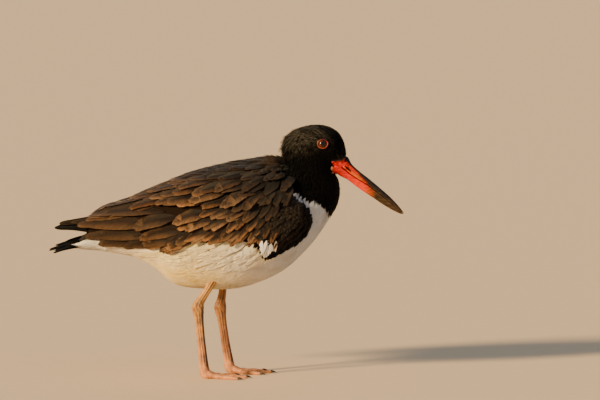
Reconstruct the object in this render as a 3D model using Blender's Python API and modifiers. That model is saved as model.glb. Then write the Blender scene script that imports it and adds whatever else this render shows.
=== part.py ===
"""A standing oystercatcher, life size, in one still pose.

The bird faces +X, its left side is +Y and it stands on z = 0. The origin is under the middle of its box.
Shapes are worked out in millimetres and made in metres. A place in the side view is written (x, z).
"""

import math
import random

import bmesh
import bpy
import numpy as np
from mathutils import Matrix, Vector

MM = 0.001  # metres in a millimetre

# Driving sizes, in millimetres
BILL_TIP_X = 177.5
TAIL_TIP_X = -177.5
CROWN_Z = 252.6
GAP = 0.3  # between nodes that touch
CLEAR = 0.35  # how much larger a cutter is than the node it stands for
EYE_RADIUS = 5.6
EYE_PLACE = (96.0, 233.2)
EYE_OPENING = 4.5
LID_RADIUS = 6.1
LID_DEPTH = 1.25
LEG_SPREAD = 22.0
SIDES = (("right", -1.0), ("left", 1.0))

# Rings of the body: top x, top z, bottom x, bottom z, half width, lean.
# Lean moves the widest place up where it is above 0.
BODY_RINGS = (
    (-127.0, 143.0, -127.0, 127.6, 12.0, 0.0),
    (-112.0, 152.0, -114.0, 125.2, 20.0, 0.0),
    (-88.0, 165.0, -93.0, 120.8, 31.0, 0.0),
    (-64.0, 179.0, -73.0, 110.5, 39.5, 0.0),
    (-39.0, 193.0, -51.5, 93.0, 45.0, 0.0),
    (-13.0, 203.5, -21.5, 88.0, 48.0, 0.0),
    (13.0, 212.0, 12.0, 88.8, 48.5, 0.0),
    (33.0, 219.5, 42.5, 98.8, 46.5, 0.0),
    (44.5, 221.4, 63.5, 111.5, 43.0, 0.0),
    (53.5, 220.6, 84.5, 132.5, 37.5, 0.0),
    (57.0, 219.0, 100.5, 154.5, 31.5, 0.05),
    (55.6, 224.0, 110.6, 171.0, 26.5, 0.1),
    (55.6, 231.5, 113.8, 185.0, 23.2, 0.15),
    (58.4, 239.0, 112.4, 196.0, 21.4, 0.25),
    (64.4, 245.0, 110.6, 201.8, 20.0, 0.36),
    (73.0, 249.6, 110.2, 203.0, 18.8, 0.42),
    (83.0, 252.2, 110.5, 203.4, 17.8, 0.45),
    (93.5, CROWN_Z, 110.8, 203.7, 17.0, 0.45),
    (103.5, 250.4, 111.1, 203.9, 15.6, 0.42),
    (112.0, 245.0, 111.4, 204.0, 13.4, 0.36),
    (117.0, 237.0, 111.7, 204.1, 11.2, 0.26),
    (119.3, 228.0, 112.0, 204.1, 9.2, 0.1),
    (120.3, 221.0, 112.4, 203.9, 7.4, 0.0),
)
NECK_AT = 9.6  # ring where the torso ends
HEAD_AT = 12.5  # ring where the neck ends

# Rings of the folded wings' outer face, that reach back past the body to the wing tips.
WING_RINGS = (
    (-176.0, 152.0, -176.0, 147.0, 6.0, 0.0),
    (-160.0, 156.5, -160.0, 145.0, 9.0, 0.0),
    (-142.0, 160.0, -142.0, 140.0, 15.0, 0.0),
    (-122.0, 171.7, -122.0, 128.5, 25.5, 0.05),
    (-97.0, 180.5, -99.0, 122.5, 36.5, 0.05),
    (-68.0, 193.2, -74.0, 110.5, 45.0, 0.05),
    (-39.0, 204.8, -51.5, 93.0, 50.5, 0.0),
    (-13.0, 212.2, -21.5, 88.0, 53.0, 0.0),
    (13.0, 217.6, 12.0, 88.8, 53.5, 0.0),
    (34.0, 220.6, 42.5, 98.8, 51.5, 0.0),
    (46.5, 220.8, 66.5, 113.0, 47.5, 0.0),
    (56.0, 216.0, 88.0, 136.0, 41.5, 0.0),
    (63.0, 212.0, 104.0, 160.0, 34.0, 0.0),
)
# The wing's edges in the side view, from the front of the bend to the rear. They are matched point to point.
WING_UPPER = (
    (88.0, 160.0), (85.0, 171.0), (79.0, 179.0), (71.0, 187.0), (62.0, 195.0), (53.0, 203.0),
    (44.0, 210.5), (34.0, 217.8), (14.0, 217.5), (-12.0, 212.3), (-38.0, 205.0), (-67.0, 193.4),
    (-96.0, 180.8), (-120.0, 172.3), (-139.0, 162.3),
)
WING_LOWER = (
    (88.0, 158.0), (86.0, 146.0), (79.0, 137.5), (69.0, 130.5), (57.0, 123.5), (44.0, 118.5),
    (30.0, 121.0), (15.0, 125.0), (-2.0, 127.5), (-26.0, 128.0), (-52.0, 126.0), (-76.0, 126.5),
    (-98.0, 128.0), (-120.0, 131.0), (-139.0, 141.5),
)
WING_DEPTH = 9.0
WING_EDGE_DROP = 2.4
MIDLINE = 0.5  # half the space between the two wings on the back

# Tiers of feathers on a wing: name, line of the tips from the top down, how many, length, half width,
# lift of the tip, and the point that the feathers point away from.
FAN = (73.0, 227.0)
TIERS = (
    ("covert_great", ((-93.5, 148.0), (-76.0, 134.5), (-54.0, 127.0), (-36.0, 130.5), (-11.0, 131.5),
                      (14.0, 131.5), (36.0, 130.5)), 10, 36.0, 7.6, 0.9, FAN),
    ("tertial", ((-136.0, 164.2), (-149.0, 153.0), (-143.5, 143.0), (-129.0, 133.5), (-102.0, 127.5)),
     5, 84.0, 9.0, 1.0, FAN),
    ("covert_middle", ((-73.0, 170.5), (-57.0, 157.0), (-36.0, 150.5), (-14.0, 148.0), (9.0, 148.0),
                       (32.0, 148.0), (54.0, 149.0)), 9, 34.0, 7.8, 1.5, FAN),
    ("covert_small", ((76.0, 160.0), (75.0, 147.0), (66.0, 136.0), (54.0, 127.5), (42.0, 120.0)),
     6, 22.0, 6.6, 1.2, (114.0, 192.0)),
    ("scapular_long", ((-45.0, 198.2), (-40.0, 183.0), (-21.0, 169.5), (2.0, 166.5), (24.0, 165.0),
                       (42.0, 166.0), (58.0, 170.0)), 8, 40.0, 8.8, 2.2, FAN),
    ("scapular_short", ((-2.0, 212.2), (6.0, 198.0), (22.0, 185.0), (40.0, 181.5), (56.0, 184.0)),
     6, 30.0, 7.6, 2.8, FAN),
)
PRIMARY_ROOT = (-100.0, 154.0)
PRIMARY_TIPS = ((-172.0, 149.2), (-168.5, 151.6), (-163.0, 153.6), (-155.0, 155.2))
PRIMARY_HALF_WIDTH = 5.0

# The tail: a core of coverts and the rectrices on it.
TAIL_RINGS = (
    (-127.3, 143.0, -127.3, 127.8, 11.6, 0.0),
    (-138.0, 142.6, -138.0, 128.3, 12.0, 0.0),
    (-149.0, 138.6, -149.0, 129.6, 11.0, 0.0),
    (-160.0, 133.2, -160.0, 130.6, 6.0, 0.0),
)
# Each pair of tail feathers from the middle out: x and z of the tip.
RECTRIX_ROOT = (-131.0, 141.2)
RECTRIX_TIPS = ((-171.5, 131.2), (-175.5, 130.0), (TAIL_TIP_X, 128.4), (-176.0, 127.2), (-173.0, 126.2))
RECTRIX_FAN = math.radians(15)

# The bill: rings as above, and where the mouth line runs as a share of each ring's height from the top.
BILL_RINGS = (
    (104.6, 215.2, 104.2, 204.6, 9.9, 0.0),
    (111.6, 218.2, 109.4, 203.7, 9.1, 0.0),
    (120.4, 220.7, 114.6, 200.6, 7.5, 0.0),
    (125.6, 212.7, 121.0, 197.4, 6.3, 0.0),
    (133.6, 205.3, 128.6, 191.6, 5.3, 0.0),
    (143.0, 197.9, 137.1, 185.5, 4.6, 0.0),
    (153.6, 189.0, 147.2, 178.8, 3.9, 0.0),
    (163.1, 180.6, 157.2, 172.0, 3.1, 0.0),
    (170.6, 172.8, 166.7, 166.5, 2.2, 0.0),
    (175.4, 167.0, 173.8, 163.1, 1.3, 0.0),
)
BILL_END = (BILL_TIP_X, 163.4)
MOUTH_SHARE = (0.2, 0.38, 0.6, 0.58, 0.5, 0.42, 0.42, 0.41, 0.43, 0.46)
NOSTRIL = ((119.0, 211.2), (124.6, 206.4))
NOSTRIL_RADIUS = 0.85

# Legs in the side view, from inside the body down: x, z, half length fore and aft, half width across.
# The tibia ends and the ankle starts at row 3, and the tarsus starts at row 6.
LEGS = {
    "right": (
        (-6.0, 112.0, 4.6, 4.4), (-13.0, 98.5, 4.1, 3.9), (-20.0, 87.0, 3.9, 3.6), (-26.4, 77.2, 4.7, 4.1),
        (-28.4, 71.6, 6.1, 4.7), (-28.0, 66.0, 5.6, 4.5), (-27.3, 60.7, 4.7, 3.8), (-26.4, 50.0, 4.3, 3.1),
        (-24.6, 32.0, 4.3, 3.1), (-22.9, 16.0, 4.7, 3.6), (-22.2, 9.0, 5.4, 4.3),
    ),
    "left": (
        (-3.2, 104.0, 4.6, 4.4), (-3.6, 92.0, 4.1, 3.9), (-4.4, 82.0, 3.9, 3.6), (-5.9, 73.0, 4.7, 4.1),
        (-6.7, 67.6, 6.1, 4.7), (-6.3, 62.4, 5.6, 4.5), (-5.4, 57.3, 4.7, 3.8), (-4.0, 47.5, 4.3, 3.1),
        (-1.4, 31.0, 4.3, 3.1), (1.2, 16.0, 4.7, 3.6), (2.2, 9.0, 5.4, 4.3),
    ),
}
LEG_PARTS = (("tibia", 0, 3), ("ankle", 3, 6), ("tarsus", 6, 10))
FOOT_PLACES = {"right": (-20.6, 5.0), "left": (3.8, 5.0)}
# Toes: name, turn outwards in degrees, length without the claw.
TOES = (("inner", -27.0, 34.0), ("middle", 0.0, 41.0), ("outer", 25.0, 36.0))
CLAW_LENGTH = 5.0

COLOURS = {
    "black": (0.012, 0.012, 0.013, 0.55),
    "brown": (0.085, 0.048, 0.028, 0.6),
    "white": (0.72, 0.68, 0.6, 0.7),
    "red": (0.75, 0.07, 0.015, 0.32),
    "eye": (0.035, 0.012, 0.006, 0.08),
    "leg": (0.55, 0.3, 0.2, 0.5),
    "claw": (0.03, 0.022, 0.018, 0.4),
}


def curve_at(rows, t):
    """The value at t, counted in rows, of a smooth curve through the rows."""
    rows = np.asarray(rows, float)
    last = len(rows) - 1
    i = int(min(max(math.floor(t), 0), last - 1))
    u = t - i
    p1, p2 = rows[i], rows[i + 1]
    p0 = rows[i - 1] if i else 2 * p1 - p2
    p3 = rows[i + 2] if i + 2 <= last else 2 * p2 - p1
    cubic = -p0 + 3 * p1 - 3 * p2 + p3
    square = 2 * p0 - 5 * p1 + 4 * p2 - p3
    return p1 + 0.5 * u * ((p2 - p0) + u * (square + u * cubic))


def along(rows, share):
    """The value at a share, 0 to 1, of a smooth curve through the rows."""
    return curve_at(rows, share * (len(rows) - 1))


def unit(vector):
    return vector / max(np.linalg.norm(vector), 1e-12)


class Sweep:
    """A form that runs through flat rings, each as high as its top and bottom places say."""

    def __init__(self, rings):
        self.rings = np.array(rings, float)
        self.last = len(rings) - 1

    def point(self, t, angle, side=1.0):
        """angle runs from 0 at the top to pi at the bottom, on one side."""
        top_x, top_z, low_x, low_z, half, lean = curve_at(self.rings, t)
        share = (1 - math.cos(angle)) / 2
        across = half * math.sin(angle) * (1 + lean * math.cos(angle))
        return np.array(
            (top_x + (low_x - top_x) * share, side * across, top_z + (low_z - top_z) * share)
        )

    def normal(self, t, angle, side=1.0):
        step = 0.02
        low, high = max(t - step, 0.0), min(t + step, float(self.last))
        forward = self.point(high, angle, side) - self.point(low, angle, side)
        around = self.point(t, angle + step, side) - self.point(t, angle - step, side)
        return unit(np.cross(forward, around) * side)

    def lifted(self, t, angle, side, lift):
        return self.point(t, angle, side) + self.normal(t, angle, side) * lift

    def locate(self, x, z):
        """(t, angle) of the place seen at (x, z) from the side."""
        grid = np.linspace(0.0, self.last, 40 * self.last + 1)
        before, t = None, grid[-1]
        for value in grid:
            offset, _ = self.offset(value, x, z)
            if before is not None and before[1] * offset <= 0:
                whole = abs(before[1]) + abs(offset)
                t = before[0] + (value - before[0]) * (abs(before[1]) / whole if whole else 0.0)
                break
            before = (value, offset)
        else:
            t = grid[0] if abs(self.offset(grid[0], x, z)[0]) < abs(offset) else grid[-1]
        share = min(max(self.offset(t, x, z)[1], 0.0), 1.0)
        return t, math.acos(1 - 2 * share)

    def offset(self, t, x, z):
        """How far (x, z) lies in front of ring t, and the share of the ring's height beside it."""
        top_x, top_z, low_x, low_z, _, _ = curve_at(self.rings, t)
        down = np.array((low_x - top_x, low_z - top_z))
        away = np.array((x - top_x, z - top_z))
        share = float(away @ down) / float(down @ down)
        return float(away[1] * down[0] - away[0] * down[1]) / np.linalg.norm(down), share


BODY = Sweep(BODY_RINGS)
WING = Sweep(WING_RINGS)
TAIL = Sweep(TAIL_RINGS)
BILL = Sweep(BILL_RINGS)


def mesh_object(name, points, faces, colour):
    """A closed mesh in millimetres made an object in metres, with its faces pointing out."""
    mesh = bpy.data.meshes.new(name)
    mesh.from_pydata([tuple(float(v) * MM for v in p) for p in points], [], faces)
    work = bmesh.new()
    work.from_mesh(mesh)
    bpy.data.meshes.remove(mesh)
    return finished(name, work, colour)


def finished(name, work, colour):
    """The bmesh made an object, in triangles that face out."""
    bmesh.ops.triangulate(work, faces=[f for f in work.faces if len(f.verts) > 3])
    bmesh.ops.recalc_face_normals(work, faces=work.faces)
    mesh = bpy.data.meshes.new(name)
    work.to_mesh(mesh)
    work.free()
    mesh.materials.append(material(colour))
    obj = bpy.data.objects.new(name, mesh)
    bpy.context.scene.collection.objects.link(obj)
    return obj


def placed(centre, axis):
    """The matrix that sets a form, made round +Z in metres, at a place in millimetres along an axis."""
    turn = Vector(axis).to_track_quat("Z", "Y").to_matrix().to_4x4()
    return Matrix.Translation(Vector(centre) * MM) @ turn


def ball(name, centre, axis, radius, colour):
    """A ball with its poles on the axis."""
    work = bmesh.new()
    bmesh.ops.create_uvsphere(
        work, u_segments=14, v_segments=8, radius=radius * MM, matrix=placed(centre, axis)
    )
    return finished(name, work, colour)


def drum(name, centre, axis, radius, height, colour):
    """A round block about a centre."""
    work = bmesh.new()
    bmesh.ops.create_cone(
        work, cap_ends=True, segments=14, radius1=radius * MM, radius2=radius * MM,
        depth=height * MM, matrix=placed(centre, axis),
    )
    return finished(name, work, colour)


def block(name, low, high, colour):
    """A box between two corners."""
    work = bmesh.new()
    middle = (Vector(low) + Vector(high)) / 2 * MM
    size = (Vector(high) - Vector(low)) * MM
    bmesh.ops.create_cube(work, size=1.0, matrix=Matrix.Translation(middle) @ Matrix.Diagonal((*size, 1.0)))
    return finished(name, work, colour)


def turned_ring(name, profile, matrix, sides, colour):
    """A ring with a closed profile of (radius, height), turned round +Z and then set by the matrix."""
    mesh = bpy.data.meshes.new("profile")
    edges = [(i, (i + 1) % len(profile)) for i in range(len(profile))]
    mesh.from_pydata([(r * MM, 0.0, h * MM) for r, h in profile], edges, [])
    guide = bpy.data.objects.new("profile", mesh)
    bpy.context.scene.collection.objects.link(guide)
    turn = guide.modifiers.new("turn", "SCREW")
    turn.steps = turn.render_steps = sides
    turn.use_merge_vertices = True
    turn.merge_threshold = 1e-6
    work = bmesh.new()
    work.from_object(guide, bpy.context.evaluated_depsgraph_get())
    bpy.data.objects.remove(guide)
    bmesh.ops.transform(work, matrix=matrix, verts=work.verts)
    return finished(name, work, colour)


def material(colour):
    """The named finish, made once."""
    if colour in bpy.data.materials:
        return bpy.data.materials[colour]
    red, green, blue, rough = COLOURS[colour]
    made = bpy.data.materials.new(colour)
    made.use_nodes = True
    shader = made.node_tree.nodes["Principled BSDF"]
    shader.inputs["Base Color"].default_value = (red, green, blue, 1.0)
    shader.inputs["Roughness"].default_value = rough
    return made


def loft(name, rings, colour, tip=None):
    """A closed form through rings of points, with flat ends, or with a point at the far end."""
    count = len(rings[0])
    points = [p for ring in rings for p in ring]
    faces = []
    for i in range(len(rings) - 1):
        for k in range(count):
            a, b = i * count + k, i * count + (k + 1) % count
            faces.append((a, b, b + count, a + count))
    faces.append(tuple(range(count)))
    end = (len(rings) - 1) * count
    if tip is None:
        faces.append(tuple(range(end, end + count)))
    else:
        points.append(tip)
        faces += [(end + k, end + (k + 1) % count, len(points) - 1) for k in range(count)]
    return mesh_object(name, points, faces, colour)


def ring_of(sweep, t, steps, grow=0.0):
    """The points round one ring of a sweep, down its left side and up its right, made larger by grow."""
    ring = []
    for side in (1.0, -1.0):
        for k in range(steps):
            angle = math.pi * k / steps if side > 0 else math.pi * (steps - k) / steps
            here = sweep.point(t, angle, side)
            if grow:
                here = here + sweep.normal(t, angle, side) * grow
            ring.append(here)
    return ring


def push(ring, ahead, distance):
    """The ring moved square to its own plane, to the side that ahead points to."""
    centre = np.mean(ring, axis=0)
    axis = unit(np.cross(ring[0] - centre, ring[len(ring) // 4] - centre))
    if axis @ ahead < 0:
        axis = -axis
    return [p + axis * distance for p in ring]


def swept_node(name, sweep, start, end, count, steps, colour, grow=0.0, start_gap=0.0):
    """A stretch of a sweep as a closed object. Where it grows, it grows past its ends too."""
    rings = [ring_of(sweep, t, steps, grow) for t in np.linspace(start, end, count)]
    middles = [np.mean(ring, axis=0) for ring in rings]
    rings[0] = push(rings[0], middles[1] - middles[0], start_gap - 3 * grow)
    rings[-1] = push(rings[-1], middles[-1] - middles[-2], 3 * grow)
    return loft(name, rings, colour)


def blade(name, spine, normals, half_widths, middle, edge, colour):
    """A feather: a thin closed blade along the spine, that ends in a point.

    middle is its thickness along the shaft and edge at the sides. With no edge its section is a flat
    diamond. Both faces are split alike.
    """
    sides = 6 if edge else 4
    points, faces = [], []
    for i, (place, normal, half) in enumerate(zip(spine[:-1], normals, half_widths)):
        ahead = unit(spine[i + 1] - place)
        across = unit(np.cross(ahead, normal))
        up = unit(np.cross(across, ahead))
        if edge:
            section = ((-half, edge / 2), (0.0, middle - edge / 2), (half, edge / 2))
            section += ((half, -edge / 2), (0.0, -edge / 2), (-half, -edge / 2))
        else:
            section = ((-half, 0.0), (0.0, middle * 0.6), (half, 0.0), (0.0, -middle * 0.4))
        points += [place + across * shift + up * high for shift, high in section]
    last = len(spine) - 2
    middles = (1, 4) if edge else (1, 3)
    for i in range(last):
        a, b = sides * i, sides * (i + 1)
        for k in range(sides):
            m = (k + 1) % sides
            if m in middles:
                faces += [(a + k, a + m, b + k), (a + m, b + m, b + k)]
            else:
                faces += [(a + k, a + m, b + m), (a + k, b + m, b + k)]
    end = sides * last
    points.append(spine[-1])
    tip = len(points) - 1
    faces += [(end + k, end + (k + 1) % sides, tip) for k in range(sides)]
    if edge:
        faces += [(5, 4, 1), (5, 1, 0), (4, 3, 2), (4, 2, 1)]
    else:
        faces += [(0, 3, 1), (3, 2, 1)]
    return mesh_object(name, points, faces, colour)


def boolean(target, others, operation):
    """Joins the others to the target, or cuts them from it, and removes them."""
    group = bpy.data.collections.new("work")
    bpy.context.scene.collection.children.link(group)
    for other in others:
        bpy.context.scene.collection.objects.unlink(other)
        group.objects.link(other)
    step = target.modifiers.new("step", "BOOLEAN")
    step.operation = operation
    step.operand_type = "COLLECTION"
    step.collection = group
    step.solver = "MANIFOLD"
    graph = bpy.context.evaluated_depsgraph_get()
    made = bpy.data.meshes.new_from_object(target.evaluated_get(graph))
    target.modifiers.clear()
    target.data = made
    for other in others:
        bpy.data.objects.remove(other)
    bpy.data.collections.remove(group)
    keep_largest(target)


def keep_largest(obj):
    """Leaves only the largest closed surface of the mesh."""
    work = bmesh.new()
    work.from_mesh(obj.data)
    left, groups = set(work.faces), []
    while left:
        group, todo = set(), [left.pop()]
        while todo:
            face = todo.pop()
            group.add(face)
            for edge in face.edges:
                for near in edge.link_faces:
                    if near in left:
                        left.discard(near)
                        todo.append(near)
        groups.append(group)
    groups.sort(key=lambda g: sum(f.calc_area() for f in g))
    loose = [f for group in groups[:-1] for f in group]
    bmesh.ops.delete(work, geom=loose, context="FACES")
    work.to_mesh(obj.data)
    work.free()


def make_body():
    """The torso, neck and head, as one sweep parted by thin gaps. Returns the head."""
    swept_node("torso", BODY, 0.0, NECK_AT, 19, 13, "white")
    swept_node("neck", BODY, NECK_AT, HEAD_AT, 7, 12, "black", start_gap=GAP)
    head = swept_node("head", BODY, HEAD_AT, BODY.last, 18, 12, "black", start_gap=GAP)
    return head


def mandible(name, upper, grow=0.0):
    """One half of the bill, that ends flat on the mouth line."""
    steps, rings = 6, []
    for t in range(len(BILL_RINGS)):
        mouth = math.acos(1 - 2 * MOUTH_SHARE[t])
        low, high = (0.0, mouth) if upper else (mouth, math.pi)
        ring = []
        for side in (1.0, -1.0):
            for k in range(steps + 1):
                share = k / steps if side > 0 else 1 - k / steps
                angle = low + (high - low) * share
                if min(angle, math.pi - angle) < 1e-6 and side < 0:
                    continue
                here = BILL.point(t, angle, side)
                if grow:
                    here = here + BILL.normal(t, angle, side) * grow
                elif abs(angle - mouth) < 1e-6:
                    here[2] += (GAP / 2 + 0.05) * (1 if upper else -1)
                ring.append(here)
        rings.append(ring)
    lift = 0.0 if grow else (0.35 if upper else -0.35)
    tip = np.array((BILL_END[0], 0.0, BILL_END[1] + lift))
    return loft(name, rings, "red", tip)


def make_bill(head):
    """The two mandibles, the head cut clear of them, and a nostril slot on each side."""
    rings = [ring_of(BILL, t, 8, CLEAR) for t in range(4)]
    rings.insert(0, [p + np.array((-0.8, 0.0, 0.0)) for p in rings[0]])
    cutter = loft("bill_room", rings, "red")
    boolean(head, [cutter], "DIFFERENCE")
    upper = mandible("bill_upper", True)
    mandible("bill_lower", False)
    start, end = (np.array((p[0], 0.0, p[1])) for p in NOSTRIL)
    slots = []
    for side in (1.0, -1.0):
        rings = []
        for share, size in ((0.0, 0.45), (0.25, 0.9), (0.75, 1.0), (1.0, 0.45)):
            middle = start + (end - start) * share
            middle = middle + np.array((0.0, side * 6.6, 0.0))
            rings.append(
                [
                    middle
                    + np.array((math.cos(a) * 0.6, 0.0, math.cos(a) * 0.75)) * NOSTRIL_RADIUS * size
                    + np.array((0.0, math.sin(a) * 1.9, 0.0)) * size
                    for a in np.linspace(0, 2 * math.pi, 8, endpoint=False)
                ]
            )
        slots.append(loft("slot", rings, "red"))
    boolean(upper, slots, "DIFFERENCE")


def make_eyes(head):
    """Each eyeball sits deep in the head, behind a raised ring of bare lid."""
    for name, side in SIDES:
        t, angle = BODY.locate(*EYE_PLACE)
        outward = BODY.normal(t, angle, side)
        surface = BODY.point(t, angle, side)
        centre = surface - outward * (EYE_RADIUS - 1.0)
        room = ball("eye_room", centre, outward, EYE_RADIUS + CLEAR, "eye")
        depth = LID_DEPTH + CLEAR
        seat = drum("lid_room", surface + outward * (3.0 - depth), outward, LID_RADIUS + CLEAR, 6.0, "eye")
        boolean(head, [room, seat], "DIFFERENCE")
        ball(f"eye_{name}", centre, outward, EYE_RADIUS, "eye")
        make_lid(f"eyelid_{name}", surface, outward)


def make_lid(name, surface, outward):
    """The ring of lid: it rounds over from the face to the edge of the opening."""
    reach = EYE_RADIUS + CLEAR
    inner = [(math.sqrt(reach**2 - (EYE_RADIUS - 1.0 + h) ** 2), h) for h in (-0.1, -LID_DEPTH)]
    profile = [
        (LID_RADIUS, -LID_DEPTH),
        (LID_RADIUS, 0.15),
        (LID_RADIUS - 0.8, 0.75),
        (EYE_OPENING, 0.4),
        (max(inner[0][0], EYE_OPENING - 0.2), -0.1),
        (min(inner[1][0] + 0.05, LID_RADIUS - 0.4), -LID_DEPTH),
    ]
    turned_ring(name, profile, placed(surface, outward), 14, "red")


def wing_core(side):
    """The folded wing without its feathers: a closed lens that follows the flank."""
    columns, rows = 16, 6
    outer, inner = [], []
    for i in range(columns + 1):
        share = i / columns
        upper, lower = along(WING_UPPER, share), along(WING_LOWER, share)
        (t_high, a_high), (t_low, a_low) = WING.locate(*upper), WING.locate(*lower)
        for k in range(rows + 1):
            v = k / rows
            t, angle = t_high + (t_low - t_high) * v, a_high + (a_low - a_high) * v
            near = min(1.0, 4 * min(share * 1.6, 1 - v, 0.25))
            if share < 0.4:
                near = min(near, 4 * min(v, 0.25))
            drop = WING_EDGE_DROP * (1 - near)
            place = WING.lifted(t, angle, side, -drop)
            place[1] = side * max(side * place[1], MIDLINE)
            outer.append(place)
            depth = WING_DEPTH - 5.5 * min(max((share - 0.6) / 0.3, 0.0), 1.0)
            deep = WING.lifted(t, angle, side, -drop - depth)
            deep[1] = side * max(side * deep[1], MIDLINE)
            inner.append(deep)
    across = rows + 1
    faces = []
    shift = len(outer)
    for i in range(columns):
        for k in range(rows):
            a, b = i * across + k, (i + 1) * across + k
            faces.append((a, a + 1, b + 1, b))
            faces.append((shift + a, shift + b, shift + b + 1, shift + a + 1))
        for k in (0, rows):
            a, b = i * across + k, (i + 1) * across + k
            faces.append((a, b, shift + b, shift + a))
    for i in (0, columns):
        for k in range(rows):
            a = i * across + k
            faces.append((a, a + 1, shift + a + 1, shift + a))
    return mesh_object("core", outer + inner, faces, "brown")


FEATHER_SHARES = (0.0, 0.3, 0.62, 0.86, 1.0)
FEATHER_WIDTHS = (0.55, 0.88, 1.0, 0.74)
SMALL_SHARES = (0.0, 0.45, 0.8, 1.0)
SMALL_WIDTHS = (0.7, 1.0, 0.84)


def feather_on_wing(root, tip, half, lift, side, long=False, sink=1.6):
    """A feather that lies along the wing, its root sunk in and its tip lifted off."""
    shares, widths = (FEATHER_SHARES, FEATHER_WIDTHS) if long else (SMALL_SHARES, SMALL_WIDTHS)
    middle, edge = (1.2, 0.5) if long else (1.7, 0.0)
    spine, normals = [], []
    for share in shares:
        x, z = root[0] + (tip[0] - root[0]) * share, root[1] + (tip[1] - root[1]) * share
        t, angle = WING.locate(x, z)
        place = WING.lifted(t, angle, side, -sink + (lift + sink) * share)
        least = MIDLINE + 0.3 + half * 0.35
        place[1] = side * max(side * place[1], least)
        spine.append(place)
        normals.append(WING.normal(t, angle, side))
    return blade("vane", spine, normals, [half * w for w in widths], middle, edge, "brown")


def wing_feathers(side):
    """All tiers of feathers of one wing."""
    draw = random.Random(11)
    made = []
    for tier, tips, count, length, half, lift, centre in TIERS:
        for i in range(count):
            tip = along(tips, i / (count - 1)) + np.array((draw.uniform(-1, 1), draw.uniform(-0.8, 0.8)))
            way = unit(tip - np.array(centre))
            size = draw.uniform(0.94, 1.06)
            root = tip - way * length * size
            rise = lift + draw.uniform(-0.2, 0.2)
            made.append(feather_on_wing(root, tip, half * size, rise, side, tier == "tertial"))
    for i, tip in enumerate(PRIMARY_TIPS):
        root = (PRIMARY_ROOT[0], PRIMARY_ROOT[1] + 2.4 * i)
        lift = -2.4 + 0.8 * i
        made.append(feather_on_wing(root, tip, PRIMARY_HALF_WIDTH, lift, side, True, 2.4))
    return made


def body_room():
    """Cutters a little larger than the torso, the root of the neck and the tail's core."""
    torso = swept_node("torso_room", BODY, 0.0, NECK_AT + 2.2, 23, 13, "white", CLEAR)
    tail = swept_node("tail_room", TAIL, 0.0, TAIL.last, 6, 8, "white", CLEAR)
    return [torso, tail]


def make_wing(name, side):
    core = wing_core(side)
    core.name = f"wing_{name}"
    boolean(core, wing_feathers(side), "UNION")
    edges = sorted((side * MIDLINE * 0.6, -side * 90.0))
    other_side = block("other_side", (-220.0, edges[0], 20.0), (220.0, edges[1], 300.0), "brown")
    boolean(core, body_room() + [other_side], "DIFFERENCE")


def make_tail():
    """The coverts at the root and the rectrices, fanned a little, each lower than the one inside it."""
    core = swept_node("tail", TAIL, 0.0, TAIL.last, 6, 8, "white")
    made = []
    for side in (1.0, -1.0):
        for i, tip in enumerate(RECTRIX_TIPS):
            turn = RECTRIX_FAN * (i + 0.5) / len(RECTRIX_TIPS)
            start = np.array((RECTRIX_ROOT[0], side * (1.2 + 1.4 * i), RECTRIX_ROOT[1] - 0.8 * i))
            spine = []
            for share in FEATHER_SHARES:
                reach = (tip[0] - RECTRIX_ROOT[0]) * share
                fall = (start[2] - tip[1]) * share - 1.0 * math.sin(math.pi * share)
                spine.append(start + np.array((reach, -side * reach * math.tan(turn), -fall)))
            roll = math.radians(4 * (i + 0.5))
            normal = np.array((0.3, side * math.sin(roll), math.cos(roll)))
            made.append(blade("vane", spine, [normal] * 4, (3.4, 4.8, 5.4, 4.0), 0.9, 0.5, "black"))
    boolean(core, made, "UNION")


def leg_rings(rows, side, sides):
    """The rings of a leg and the way down at each, the last one level."""
    middles = []
    for x, z, _, _ in rows:
        spread = LEG_SPREAD + 0.03 * max(z - 30.0, 0.0)
        middles.append(np.array((x, side * spread, z)))
    rings, ways = [], []
    for i, (_, _, fore, wide) in enumerate(rows):
        way = unit(middles[min(i + 1, len(rows) - 1)] - middles[max(i - 1, 0)])
        if i == len(rows) - 1:
            way = np.array((0.0, 0.0, -1.0))
        across = unit(np.cross(way, (1.0, 0.0, 0.0)))
        ahead = np.cross(across, way)
        ring = []
        for a in np.linspace(0, 2 * math.pi, sides, endpoint=False):
            ring.append(middles[i] + ahead * math.cos(a) * fore + across * math.sin(a) * wide)
        rings.append(ring)
        ways.append(way)
    return rings, ways


def make_leg(name, side):
    """Tibia, ankle joint, tarsus, foot and claws of one leg."""
    rings, ways = leg_rings(LEGS[name], side, 10)
    for part, first, last in LEG_PARTS:
        own = rings[first : last + 1]
        if first:
            own[0] = [p + ways[first] * GAP for p in own[0]]
        node = loft(f"{part}_{name}", own, "leg")
        if part == "tibia":
            room = swept_node("room", BODY, 0.0, NECK_AT, 19, 13, "white", CLEAR)
            boolean(node, [room], "DIFFERENCE")
    make_foot(name, side, FOOT_PLACES[name])


def toe_path(base, side, turn, length):
    """Points along a toe, from the foot's middle to the claw, with their radii."""
    way = np.array((math.cos(turn), side * math.sin(turn), 0.0))
    rows = []
    for share, height, radius in (
        (0.0, 4.4, 3.2), (0.16, 2.9, 2.8), (0.3, 2.2, 2.4), (0.4, 2.3, 2.8), (0.55, 1.8, 2.2),
        (0.68, 1.9, 2.5), (0.86, 1.5, 1.9), (1.0, 1.7, 1.6),
    ):
        place = base + way * length * share
        place[2] = height
        rows.append((place, radius))
    return rows, way


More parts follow.
